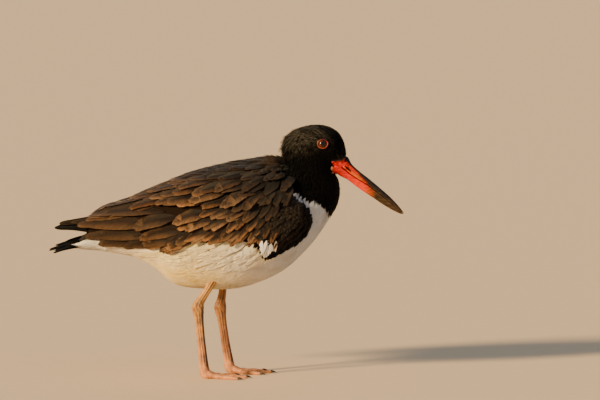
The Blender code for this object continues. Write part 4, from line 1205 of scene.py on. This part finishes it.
def make_tail_coverts(name, side):
    """The white feathers under the root of the tail and the dark ones on the rump."""
    plumage, draw = Plumage(), np.random.default_rng(83)

    def keep(place, t, angle):
        x = place[..., 0]
        return (t < 3.7) & ((angle > 1.5 + 0.55 * smooth(-141, -151, x)) | (x > -136))

    t, angle = spread(TAIL, side, (0.0, TAIL.last - 0.2), even_pitch(1.9), keep, 81 + int(side))
    count, stations = len(t), 5
    # The tail's rings run back from the rump, so these feathers lie forward along them
    way = lie_back(draw.normal(0, 0.08, count), 1.0)
    length = 12.0 * draw.uniform(0.85, 1.15, count)
    path_t, path_angle = run(TAIL, side, t, angle, length, stations - 1, way)
    share = np.linspace(0, 1, stations)[None, :]
    spine = TAIL.lifted(path_t, path_angle, side, -1.4 + 1.6 * share + 0 * path_t)
    over = np.maximum(length - (TAIL.point(t, angle, side)[:, 0] + 158.0), 0.0)
    spine[..., 0] -= np.minimum(over, 3.0)[:, None] * share**2
    normal = TAIL.slopes(path_t, path_angle, side)[2]
    tone = np.where(angle[:, None] > 1.2, WHITE, BLACK_BROWN) * draw.uniform(0.9, 1.05, count)[:, None]

    def colour(along_vane, across_vane):
        # Painted shade: each feather is darker towards its root, under the feathers around it.
        return tone[:, None, None, :] * (0.85 + 0.2 * along_vane + 0 * across_vane)[..., None]

    outline, patch = np.array((0.5, 0.95, 1.0, 0.7, 0.16)), tuft_patch(TAIL, t, angle, side)
    plumage.add(spine, normal, 1.6 + 0 * length, outline, 3, 0.2, colour, patch, 0.8)
    plumage.build(f"tail_coverts_{name}", "white", "tail_plumage", ("tail",) if side < 0 else ())


def bill_material():
    """Horn: a soft gloss over faint lengthwise grain."""
    made = Finish("bill_horn", 0.45, 0.16)
    turned = {"Rotation": (0.0, math.radians(-41), 0.0), "Scale": (120.0, 1000.0, 1000.0)}
    grain = made.node("Mapping", {"Vector": made.place(), **turned})
    noise = made.noise(1.0, 5.0, grain)
    return made.paint(made.mottled(noise, 0.55, 1.3), noise, 0.55, 0.00018)


def bill_colour(points, shares, mouths, upper):
    """Red at the gape, then orange and amber, then dusky to the end, with a dark line along the ridge."""
    x, z = points[:, 0], points[:, 2]
    far = (points - np.array((112.0, 0.0, 212.0))) @ unit(np.array((0.755, 0.0, -0.656)))
    spots = 0.5 * wander(points, 4.5, 12) + 0.4 * wander(points, 1.8, 13)
    if upper:
        down = np.clip(shares / mouths, 0, 1)
        streak = smooth(0.6, 0.9, down) * smooth(0.0, 0.5, spots + 0.1) * smooth(32, 46, far)
        end = layered(
            BILL_DUSK,
            (BILL_DARK, smooth(-0.1, 0.6, spots) * 0.9),
            (BILL_OLIVE, smooth(0.72, 0.98, down) * 0.7 + smooth(56, 78, far) * 0.6),
            (BILL_OLIVE * 2.4, streak),
        )
        brow = mix(BILL_DARK * 1.6, BILL_DARK * 0.4, smooth(0.3, 0.1, down))
        reach = 0.4 - 0.25 * smooth(2, 14, far)
        coats = (
            (BILL_ORANGE, smooth(0, 10, far + 2 * spots)),
            # Painted highlight: an amber band along the middle of the upper mandible, below the nostril.
            (BILL_AMBER, hump(far, 22, 8.0) * smooth(0.3, 0.65, down)),
            (end, smooth(-7, 9, far - 13.0 - 17.0 * smooth(0.0, 0.9, down) + 4.0 * spots)),
            (brow, smooth(reach + 0.13, reach - 0.1, down + 0.08 * spots) * smooth(44, 26, far)),
        )
    else:
        down = np.clip((shares - mouths) / (1 - mouths), 0, 1)
        end = layered(
            BILL_OLIVE,
            (BILL_DUSK * 0.6, smooth(-0.4, 0.6, spots) * 0.8),
            (BILL_OLIVE * 2.0, smooth(0.2, 0.06, down) * smooth(78, 60, far) * 0.8),
            (BILL_OLIVE * 1.7, smooth(0.75, 0.95, down) * smooth(50, 70, far) * 0.7),
        )
        coats = (
            (BILL_ORANGE, smooth(10, 36, far + 2 * spots)),
            (BILL_AMBER * 0.7, 0.8 * smooth(32, 43, far + 2 * spots)),
            (end, smooth(-8, 7, far - 41.0 - 3.0 * down + 4.0 * spots)),
        )
    cream = smooth(106.4, 105.0, x + 0.5 * spots) * smooth(213.0, 211.5, z)
    notch = smooth(1.7, 0.9, np.abs(z - 212.2 + 0.25 * (x - 106))) * smooth(108.2, 107.0, x)
    notch = np.maximum(notch, smooth(1.0, 0.5, np.abs(z - 206.6)) * smooth(106.6, 105.6, x))
    return layered(BILL_RED, *coats, (GAPE_CREAM, cream), (BLACK, notch))


def mandible(name, upper):
    """One half of the bill, with its cutting edge, and on the upper half the groove and the nostrils."""
    rows, steps = 190, 24
    t = np.linspace(0, BILL.last, rows)
    mouth = np.interp(t, np.arange(len(MOUTH_SHARE)), MOUTH_SHARE)
    edge = np.arccos(1 - 2 * mouth)
    low, high = (0 * edge, edge) if upper else (edge, math.pi + 0 * edge)
    v = np.linspace(0, 1, steps + 1)
    angle = low[:, None] + (high - low)[:, None] * v[None, :]
    lip = (v if upper else 1 - v) + 0 * angle
    halves = []
    for side, keep in ((1.0, slice(None)), (-1.0, slice(-2, 0, -1))):
        place = BILL.point(t[:, None] + 0 * angle, angle, side)
        normal = BILL.slopes(t[:, None] + 0 * angle, angle, side)[2]
        place = place + normal * bill_relief(place, t[:, None], angle, edge[:, None], upper)[..., None]
        place[..., 1] *= 1 - 0.12 * smooth(0.94, 1.0, lip)
        halves.append(np.concatenate((place, np.stack(((1 - np.cos(angle)) / 2, lip), -1)), -1)[:, keep])
    ring = np.concatenate(halves, 1)
    columns = ring.shape[1]
    tip = (BILL_END[0], 0.0, BILL_END[1] + (0.3 if upper else -0.3))
    points, faces = closed_loft(ring[..., :3], (ring[0, :, :3].mean(0), tip))
    share, lip = (np.concatenate((ring[..., k].ravel(), (end, end))) for k, end in ((3, 0.5), (4, 0.0)))
    mouth = np.concatenate((np.repeat(mouth, columns), (0.4, 0.4)))
    tint = bill_colour(points, share, mouth, upper)
    # Painted shade: the lips darken along the mouth line, in the crease between the two halves.
    tint = mix(tint, tint * 0.15, smooth(0.95, 0.99, lip) * smooth(152, 136, points[:, 0]))
    if upper:
        tint = mix(tint, BILL_AMBER, nostril_rim(points) * 0.6)
        tint = mix(tint, BLACK, nostril_depth(points))
    flat = unrolled(np.linspace(0.01, 0.98, rows), np.linspace(0.02, 0.98, columns))
    flat = np.concatenate((flat, ((0.005, 0.5), (0.99, 0.5))))
    smooth_piece(name, (points, faces), "bill", tint, flat, (name,))


def away_from_nostril(points):
    """How far a place is from the nostril's middle line, in the side view, and how far along it."""
    first, second = np.array(NOSTRIL[0]), np.array(NOSTRIL[1])
    flat = points[..., [0, 2]]
    way = second - first
    share = np.clip(((flat - first) @ way) / (way @ way), 0, 1)
    return np.linalg.norm(flat - (first + share[..., None] * way), axis=-1), share


def nostril_depth(points):
    """1 inside the nostril's slit, 0 away from it."""
    away, share = away_from_nostril(points)
    width = 0.4 + 0.7 * np.sin(math.pi * np.clip(share, 0.08, 0.92))
    return smooth(width + 0.25, width - 0.3, away) * (np.abs(points[..., 1]) > 1.6)


def nostril_rim(points):
    """The pale skin below and behind the slit."""
    away, share = away_from_nostril(points)
    below = (points[..., 2] - NOSTRIL[0][1]) * 0.75 + (points[..., 0] - NOSTRIL[0][0]) * 0.62 < 0.3
    return hump(away, 1.5, 0.5) * below * (np.abs(points[..., 1]) > 1.6) * (share < 0.98)


def bill_relief(place, t, angle, edge, upper):
    """Grooves and swellings of the horn, outwards."""
    if upper:
        groove = hump(angle, 0.6 * edge, 0.15) * smooth(0.8, 1.8, t) * smooth(6.0, 3.0, t)
        lip = hump(angle, 0.9 * edge, 0.12) * smooth(7.0, 1.0, t)
        return -0.5 * groove + 0.3 * lip - 1.4 * nostril_depth(place) + 0.2 * nostril_rim(place)
    fold = hump(angle, edge + 0.35 * (math.pi - edge), 0.14) * smooth(0.3, 1.0, t)
    return -0.35 * fold * smooth(5.5, 2.0, t)


def gape_feathers():
    """Pale frayed skin at the corner of the mouth."""
    plumage = Plumage()
    draw = np.random.default_rng(7)
    for side in (1.0, -1.0):
        for x, z in GAPE_PLACES:
            root = BODY.lifted(*BODY.locate(x, z), side, 0.3)[0]
            way = unit(np.array((-0.95, side * 0.2, draw.uniform(-0.2, 0.15))))
            spine = root + way * draw.uniform(2.6, 4.0) * np.linspace(0, 1, 4)[:, None]
            normal = unit(np.array((0.1, side, 0.1)) + 0 * spine)
            tip_tone = GAPE_CREAM if z < 212 else BILL_RED

            def colour(along_vane, across_vane):
                return mix(BILL_RED, tip_tone, smooth(0.0, 0.5, along_vane + 0 * across_vane))

            half, outline = np.array((0.55,)), np.array((1.0, 0.9, 0.6, 0.15))
            plumage.add(spine[None], normal[None], half, outline, 3, 0.3, colour, None, 0.5)
    plumage.build("gape", "white_firm", "bill")


def eye_frame(side):
    """Where an eye sits, its outward way and its centre."""
    t, angle = BODY.locate(*EYE_PLACE)
    outward = BODY.slopes(t, angle, side)[2][0]
    surface = BODY.point(t, angle, side)[0]
    return surface, outward, surface - outward * (EYE_RADIUS - EYE_OUT)


def placed(centre, axis):
    """The matrix that sets a form made round +Z in metres at a place in millimetres."""
    turn = Vector(axis).to_track_quat("Z", "Y").to_matrix().to_4x4()
    return Matrix.Translation(Vector(centre) * MM) @ turn


def from_primitive(name, matrix, finish):
    """The primitive that was just added, moved into place in its mesh."""
    obj = bpy.context.active_object
    obj.name = obj.data.name = name
    obj.data.transform(matrix @ obj.matrix_basis)
    obj.matrix_basis = Matrix.Identity(4)
    obj.data.materials.clear()
    obj.data.materials.append(MATERIALS[finish])
    obj.data.shade_smooth()
    return obj


def eye_material():
    """A wet ball: black pupil, dark red-brown iris with fine rays."""
    made = Finish("eye_ball", 0.08, 0.4)
    return made.paint(made.tint())


def flesh_material(name, bump_scale, relief):
    """Bare skin: its tint, mottled, with fine folds."""
    made = Finish(name, 0.4, 0.35)
    noise = made.noise(bump_scale, 4.0)
    return made.paint(made.mottled(noise, 0.6, 1.25), noise, relief, 0.0002)


def mesh_places(mesh):
    """The points of a mesh in millimetres."""
    place = np.empty(3 * len(mesh.vertices), np.float32)
    mesh.vertices.foreach_get("co", place)
    return place.reshape(-1, 3).astype(float) / MM


def move_points(mesh, places):
    mesh.vertices.foreach_set("co", (places * MM).astype(np.float32).ravel())
    mesh.update()


def make_eyes():
    """Each eye: the ball, with its front bulging a little, and the bare ring of lid round it."""
    for name, side in SIDES:
        surface, outward, centre = eye_frame(side)
        bpy.ops.mesh.primitive_uv_sphere_add(segments=64, ring_count=48, radius=EYE_RADIUS * MM)
        ball = from_primitive(f"eye_{name}", placed(centre, outward), "eye")
        local = mesh_places(ball.data) - centre
        height = local @ outward
        flat = local - height[:, None] * outward
        radius = np.linalg.norm(flat, axis=1)
        bulge = hump(radius, 0.0, 3.0) * 0.65 * (height > 0)
        move_points(ball.data, local + bulge[:, None] * outward + centre)
        turn = np.arctan2(flat[:, 2], flat[:, 0])
        rays = 0.5 + 0.5 * np.sin(turn * 23 + 2 * np.sin(turn * 5))
        iris = mix(IRIS_DARK, IRIS_RAYS, rays * smooth(1.9, 3.4, radius))
        # Painted light: the iris is lighter on its rear side, towards the key light.
        iris = iris * (0.45 + 1.7 * smooth(1.5, -3.0, flat[:, 0]))[:, None]
        tint = mix(BLACK, iris, smooth(1.9, 2.3, radius) * (height > 0))
        hand_over_round(ball, mix(tint, BLACK * 3, smooth(3.5, 4.1, radius)), f"eye_{name}")
        make_lid(name, surface, outward)


def make_lid(name, surface, outward):
    """A bare fleshy ring, a little wider than high, creased and set into the feathers, with a painted
    highlight on its ridge and painted shade along its edges.
    """
    bpy.ops.mesh.primitive_torus_add(
        major_segments=96, minor_segments=24, major_radius=LID_RADIUS * MM, minor_radius=LID_HALF * MM
    )
    ring = from_primitive(f"eyelid_{name}", Matrix.Diagonal((1.0, 1.0, 0.75, 1.0)), "lid")
    local = mesh_places(ring.data)
    turn = np.arctan2(local[:, 1], local[:, 0])
    outer = (np.hypot(local[:, 0], local[:, 1]) - LID_RADIUS) / LID_HALF
    crease = 0.5 + 0.5 * np.sin(turn * 17 + 1.3 * np.sin(turn * 4))
    ridge = hump(outer, -0.15, 0.3)
    local[:, 2] += 0.1 * (crease - 0.5) + 0.18 * ridge + 0.05
    local[:, :2] *= (1 + 0.02 * np.sin(turn * 5 + 0.7))[:, None]
    broken = smooth(-0.5, 0.6, np.sin(turn * 3 + 0.8) + 0.6 * np.sin(turn * 7))
    move_points(ring.data, local)
    ring.data.transform(placed(surface, outward))
    local = mesh_places(ring.data)
    local[:, 2] = surface[2] + (local[:, 2] - surface[2]) * 0.88
    move_points(ring.data, local)
    front, high = ((local[:, k] - surface[k]) / EYE_OPENING for k in (0, 2))
    flesh = mix(LID_FRONT, LID_REAR, smooth(0.3, -0.9, front))
    # Painted highlight: a paler red along the ridge of the ring, broken, and fading towards the top.
    pale = mix(LID_FRONT_RIDGE, LID_REAR_RIDGE, smooth(0.5, -0.4, front))
    tint = layered(
        flesh,
        (LID_FOLD, np.clip(crease * 0.7 + 0.6 * smooth(0.1, 0.9, high), 0, 1)),
        (pale, ridge * (0.25 + 0.65 * broken) * smooth(1.3, 0.5, high)),
        # Painted shade along the ring's inner and outer edges, where it meets the ball and the feathers.
        (LID_RECESS_SHADE, smooth(0.2, 0.8, np.abs(outer))),
    )
    hand_over_round(ring, tint, f"eyelid_{name}")


def hand_over_round(obj, tint, node):
    """A coloured primitive keeps its own map, which covers its surface once, and stands for a node."""
    set_tint(obj.data, tint)
    obj.data.uv_layers[0].name = "OFBake"
    hand_over(obj, (node,))


def leg_material():
    """Scaled skin: small plates with dark seams, pink over ochre."""
    made = Finish("leg_skin", 0.5)
    cells = {"Scale": 620.0, "Vector": made.place()}
    edge = made.node("TexVoronoi", cells, "Distance", feature="DISTANCE_TO_EDGE")
    seam = made.node("MapRange", {"Value": edge, "From Max": 0.16})
    dark = made.sum("ADD", made.sum("MULTIPLY", seam, 0.45), 0.55)
    return made.paint(made.mottled(made.noise(110.0, 3.0), 0.7, 1.25, dark), seam, 0.6, 0.0003)


def leg_shaft(name, side):
    """Rings down the leg, with a tendon ridge behind and a groove each side; shape_foot cuts the plates in
    front.
    """
    rows = np.array(LEGS[name])
    count, sides = 120, 28
    line = curve_at(rows, np.linspace(0, len(rows) - 1, count))
    spread_y = LEG_SPREAD + 0.03 * np.maximum(line[:, 1] - 30.0, 0.0)
    middle = np.stack((line[:, 0], side * spread_y, line[:, 1]), -1)
    way = unit(np.gradient(middle, axis=0))
    across = unit(np.cross(way, (1.0, 0.0, 0.0)))
    ahead = np.cross(across, way)
    turn = np.linspace(0, 2 * math.pi, sides, endpoint=False)
    groove = 1 - 0.16 * hump(np.abs(np.sin(turn)), 0.93, 0.16) * (np.cos(turn) < 0.15)
    below = smooth(line[:, 1].max() - 30, line[:, 1].max() - 50, line[:, 1])[:, None]
    shape = 1 + (groove[None, :] - 1) * below
    ring = (
        middle[:, None, :]
        + ahead[:, None, :] * (np.cos(turn)[None, :] * line[:, 2:3] * shape)[..., None]
        + across[:, None, :] * (np.sin(turn)[None, :] * line[:, 3:4] * shape)[..., None]
    )
    return closed_loft(ring)


def closed_loft(ring, ends=None):
    """Points and triangles of rings closed with a fan at each end."""
    rows, columns = ring.shape[:2]
    faces = grid_triangles(rows, columns, True)
    ends = (ring[0].mean(0), ring[-1].mean(0)) if ends is None else ends
    points = np.concatenate((ring.reshape(-1, 3), ends))
    near, far = len(points) - 2, len(points) - 1
    start = (rows - 1) * columns
    for k in range(columns):
        m = (k + 1) % columns
        faces += [(near, m, k), (far, start + k, start + m)]
    return points, faces


# Rings of the heel: x from the foot's place, z, half length, half width.
HEEL_ROWS = (
    (-1.6, 9.8, 5.2, 4.2), (-1.2, 7.6, 5.4, 4.5), (-0.5, 5.2, 5.7, 4.9),
    (0.2, 3, 5.6, 5.2), (0.9, 1.2, 4.7, 4.7), (1.6, -0.6, 3.4, 3.6),
)
# Rings of a toe: share of its length, height of its middle, radius.
TOE_ROWS = (
    (0, 6.4, 3.8), (0.1, 4.9, 3.5), (0.2, 3.5, 3), (0.32, 2.6, 2.5), (0.41, 2.5, 2.7), (0.55, 1.9, 2.1),
    (0.67, 2, 2.3), (0.85, 1.5, 1.7), (0.96, 1.45, 1.6), (1, 1.4, 1.1),
)


def toe_way(side, degrees):
    """The way that a toe points, and the way across it."""
    turn = math.radians(degrees)
    way = np.array((math.cos(turn), side * math.sin(turn), 0.0))
    return way, np.array((-way[1], way[0], 0.0))


def tube(middle, across, radius, steps, narrow=1.0):
    """Rings round a line."""
    angle = np.linspace(0, 2 * math.pi, steps, endpoint=False)
    ring = middle[:, None, :] + across * (np.cos(angle)[None, :] * radius * narrow)[..., None]
    ring[..., 2] += np.sin(angle)[None, :] * radius
    return ring


def toe_form(base, side, degrees, length):
    """One toe, with its joints swollen and a flat sole."""
    way, across = toe_way(side, degrees)
    rows = curve_at(TOE_ROWS, np.linspace(0, len(TOE_ROWS) - 1, 46))
    middle = base[None, :] + way[None, :] * (rows[:, 0] * length)[:, None]
    middle[:, 2] = rows[:, 1]
    return closed_loft(tube(middle, across, rows[:, 2:3], 20))


def make_leg(name, side):
    """Leg, foot and toes as one scaled skin, grown together."""
    base = np.array((FOOT_PLACES[name][0], side * LEG_SPREAD, FOOT_PLACES[name][1]))
    forms = [leg_shaft(name, side)]
    forms += [toe_form(base, side, degrees, length) for _, degrees, length in TOES]
    forms.append(heel_form(base))
    forms += [web_form(base, side, TOES[k], TOES[k + 1], reach) for k, reach in enumerate((0.24, 0.36))]
    faces, shift = [], 0
    for form_points, form_faces in forms:
        faces += [(a + shift, b + shift, c + shift) for a, b, c in form_faces]
        shift += len(form_points)
    obj = new_mesh_object(f"leg_{name}", np.concatenate([form[0] for form in forms]), faces, "leg")
    face_out(obj)
    grow_together(obj)
    shape_foot(obj, base, name, side)
    hand_over(obj, [f"{part}_{name}" for part in ("tibia", "ankle", "tarsus", "foot")])
    for toe, degrees, length in TOES:
        make_claw(toe, name, base, side, degrees, length)


def grow_together(obj):
    """Joins overlapping forms into one skin and evens it."""
    bpy.ops.object.select_all(action="DESELECT")
    obj.select_set(True)
    bpy.context.view_layer.objects.active = obj
    merge = obj.modifiers.new("merge", "REMESH")
    merge.mode = "VOXEL"
    merge.voxel_size = LEG_GRAIN * MM
    bpy.ops.object.modifier_apply(modifier="merge")
    even = obj.modifiers.new("even", "SMOOTH")
    even.factor = 0.5
    even.iterations = 4
    bpy.ops.object.modifier_apply(modifier="even")


def heel_form(base):
    """The round pad under the end of the leg."""
    angle = np.linspace(0, 2 * math.pi, 24, endpoint=False)
    rings = [(base[0] + x + np.cos(angle) * fore, base[1] + np.sin(angle) * wide, z + 0 * angle)
             for x, z, fore, wide in HEEL_ROWS]
    return closed_loft(np.moveaxis(np.array(rings), 1, 2))


def web_form(base, side, first, second, reach):
    """A small web between two toes."""
    corners = [base + toe_way(side, degrees)[0] * length * reach for _, degrees, length in (first, second)]
    between = (corners[0] + corners[1]) / 2 - (corners[0] + corners[1] - 2 * base) * 0.08
    outline = [base, corners[0], between, corners[1]]
    return closed_loft(np.array([[(p[0], p[1], z) for p in outline] for z in (0.7, 1.6, 2.4)]))


def leg_grooves(place, name, side):
    """Sinks the lines between a leg's tendons. Gives how deep each point is in one and how near the ankle."""
    rows = np.array(LEGS[name])[::-1]
    spread_y = LEG_SPREAD + 0.03 * np.maximum(place[:, 2] - 30.0, 0.0)
    middle = np.stack((np.interp(place[:, 2], rows[:, 1], rows[:, 0]), side * spread_y), -1)
    out = place[:, :2] - middle
    turn = np.degrees(np.arctan2(np.abs(out[:, 1]), out[:, 0])) + 7 * wander(place, 26.0, 23)
    ankle = rows[6, 1]
    knuckle = hump(place[:, 2], ankle, 7.0)
    groove = hump(turn, 68.0, 13.0) + 0.8 * hump(turn, 113.0, 11.0)
    groove *= smooth(10, 17, place[:, 2]) * (1 - 0.6 * knuckle)
    way = out / np.maximum(np.linalg.norm(out, axis=1, keepdims=True), 1e-6)
    lumps = 0.55 * knuckle * wander(place, 3.6, 29)
    place[:, :2] += way * (lumps - 0.65 * groove)[:, None]
    return groove, knuckle


def shape_foot(obj, base, name, side):
    """Flattens the sole, cuts plates across the toes and colours the skin, with painted shade in the grooves,
    along the front edge and on the far leg.
    """
    mesh = obj.data
    place = mesh_places(mesh)
    groove, knuckle = leg_grooves(place, name, side)
    reach = np.hypot(place[:, 0] - base[0], place[:, 1] - base[1])
    top = smooth(1.6, 3.2, place[:, 2]) * (place[:, 2] < 9) * smooth(7.0, 10.0, reach)
    plate = np.abs(np.sin(reach * math.pi / TOE_PLATE)) ** 0.35
    place[:, 2] -= 0.28 * top * (1 - plate)
    z = place[:, 2]
    front = smooth(8, 14, z) * smooth(62, 54, z)
    shin = np.abs(np.sin(z * math.pi / SHIN_PLATE)) ** 0.35
    lean = place[:, 0] - np.interp(z, (9.0, 61.0), (base[0] - 1.6, base[0] - 6.7))
    place[:, 0] -= 0.2 * front * (1 - shin) * smooth(2.0, 3.6, lean)
    np.maximum(z, 0.0, out=z)
    move_points(mesh, place)
    mesh.shade_smooth()
    tint = layered(
        LEG_PINK,
        (LEG_OCHRE, smooth(20, 75, z + 9 * wander(place, 12.0, 17))),
        (LEG_MOTTLE_AND_SHADE * 3, 0.45 * smooth(0.1, 0.9, wander(place, 6.0, 19)) + 0.35 * knuckle),
        # Painted shade: the tendon grooves darken with their depth.
        (LEG_MOTTLE_AND_SHADE, np.clip(groove * (0.75 + 0.5 * wander(place, 9.0, 27)), 0, 1)),
    )
    # Painted shade: the far leg is darker above the foot.
    if side > 0:
        tint = mix(tint, tint * rgb(0.62, 0.52, 0.45), smooth(8, 30, z))
    # Painted shade: the front edge of the shank, turned away from the key light, is darkened.
    tint = mix(tint, LEG_MOTTLE_AND_SHADE * 0.5, smooth(1.2, 3.2, lean) * smooth(8, 14, z) * smooth(80, 66, z) * 0.9)
    set_tint(mesh, mix(tint, tint * 0.5, (1 - plate) * top * 0.8))
    outer = (place[:, 1] - base[1]) * side > 0
    across = (place[:, 0] - base[0] + 30.0 + place[:, 1] * side * 0.2) / 200 + 0.5 * outer
    set_map(mesh, "OFBake", np.clip(np.stack((across, z / 125), -1), 0, 1))


def make_claw(toe, name, base, side, degrees, length):
    """A blunt dark claw, a little hooked."""
    way, across = toe_way(side, degrees)
    start = base + way * length
    share = np.linspace(0, 1, 14)
    middle = start[None, :] + way[None, :] * (-0.8 + (CLAW_LENGTH + 1.1) * share)[:, None]
    middle[:, 2] = 1.9 + 0.35 * np.sin(math.pi * share * 0.9) - 1.25 * share**2
    ring = tube(middle, across, 1.25 * (1 - share[:, None] ** 1.5) + 0.12, 16, 0.8)
    ring[..., 2] = np.maximum(ring[..., 2], 0.15)
    form = closed_loft(ring)
    tint = mix(CLAW_HORN * 2.5, CLAW_HORN, smooth(0, 3, (form[0] - start) @ way))
    piece = f"claw_{toe}_{name}"
    smooth_piece(piece, form, "claw", tint, None, (piece,))


def make_materials():
    """Every finish by its name."""
    return {
        "hood": feather_material("hood_feather", 0.6, 0.0, 0.7, 0.35, specular=0.07),
        "white": feather_material("white_feather", 0.8, 0.1, 0.4, 0.06, inner_glow=0.35),
        "white_firm": feather_material("firm_feather", 0.6, 0.1, 0.5, 0.12),
        "brown_soft": feather_material("mantle_feather", 0.65, 0.05, 0.8, 0.4, 0.35, 0.2),
        "brown": feather_material("wing_feather", 0.6, 0.04, 0.9, 0.55, 0.42, 0.2),
        "black_firm": feather_material("flight_feather", 0.5, 0.0, 0.6, 0.2, specular=0.1),
        "skin": skin_material(),
        "bill": bill_material(),
        "eye": eye_material(),
        "lid": flesh_material("lid_skin", 1100.0, 0.5),
        "leg": leg_material(),
        "claw": flesh_material("claw_horn", 700.0, 0.3),
    }


def make_floor():
    """A wide pale floor."""
    bpy.ops.mesh.primitive_plane_add(size=FLOOR_SIZE)
    floor = bpy.context.active_object
    floor.name = "floor"
    made = Finish("floor_paint", 0.9)
    ramp = made.node("ValToRGB", {0: made.noise(60.0)})
    for stop, colour in zip(ramp.node.color_ramp.elements, ((0.69, 0.52, 0.34, 1), (0.74, 0.56, 0.37, 1))):
        stop.color = colour
    floor.data.materials.append(made.paint(ramp))


def add_sun(name, way, power, spread_degrees, colour):
    """Even light from one way, as from far off; way points towards the light."""
    bpy.ops.object.light_add(type="SUN", location=Vector(way) * 3.0)
    light = bpy.context.active_object
    light.name = name
    light.data.energy = power
    light.data.angle = math.radians(spread_degrees)
    light.data.color = colour
    light.rotation_euler = Vector(way).to_track_quat("Z", "Y").to_euler()


def make_lights():
    """A warm low key from behind the camera's left, a pale fill and an even sky."""
    add_sun("key", (-0.76, -0.56, 0.36), 8.6, 8.0, (1.0, 0.71, 0.34))
    add_sun("fill", (0.7, -0.6, 0.4), 0.3, 60.0, (0.6, 0.78, 1.0))
    add_sun("back_fill", (0.1, 0.9, 0.35), 0.45, 50.0, (1.0, 0.92, 0.8))
    world = bpy.data.worlds.new("sky")
    world.use_nodes = True
    back = world.node_tree.nodes["Background"]
    back.inputs["Color"].default_value = (0.8, 0.9, 1.05, 1.0)
    back.inputs["Strength"].default_value = 0.31
    bpy.context.scene.world = world


CAMERA_DISTANCE = 6.0
CAMERA_RISE = math.radians(5)
CAMERA_TARGET = (0.0735, 0, 0.177)
VIEW_WIDTH = 0.6  # metres across the picture at the bird
SENSOR_WIDTH = 36.0
FLOOR_SIZE = 60.0


def make_camera():
    """A long lens level with the bird's back, a little above it."""
    target = Vector(CAMERA_TARGET)
    back = Vector((0.0, -math.cos(CAMERA_RISE), math.sin(CAMERA_RISE)))
    bpy.ops.object.camera_add(location=target + back * CAMERA_DISTANCE)
    camera = bpy.context.active_object
    camera.rotation_euler = (-back).to_track_quat("-Z", "Y").to_euler()
    camera.data.sensor_width = SENSOR_WIDTH
    camera.data.lens = SENSOR_WIDTH * CAMERA_DISTANCE / VIEW_WIDTH
    camera.data.clip_end = 100.0
    bpy.context.scene.camera = camera


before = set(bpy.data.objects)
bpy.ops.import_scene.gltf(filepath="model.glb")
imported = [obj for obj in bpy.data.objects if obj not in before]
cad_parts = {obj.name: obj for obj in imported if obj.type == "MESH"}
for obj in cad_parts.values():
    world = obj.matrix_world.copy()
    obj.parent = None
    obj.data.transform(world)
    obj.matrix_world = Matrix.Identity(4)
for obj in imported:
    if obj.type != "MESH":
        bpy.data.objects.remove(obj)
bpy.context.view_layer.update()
MATERIALS = make_materials()
make_skin()
for make in (hood_feathers, under_feathers, mantle_feathers):
    for side in SIDES:
        make(*side)
for side in SIDES:
    for make in (make_wing_core, make_wing, make_plumes, make_leg):
        make(*side)
make_tail()
mandible("bill_upper", True)
mandible("bill_lower", False)
gape_feathers()
make_eyes()
make_floor()
make_lights()
make_camera()
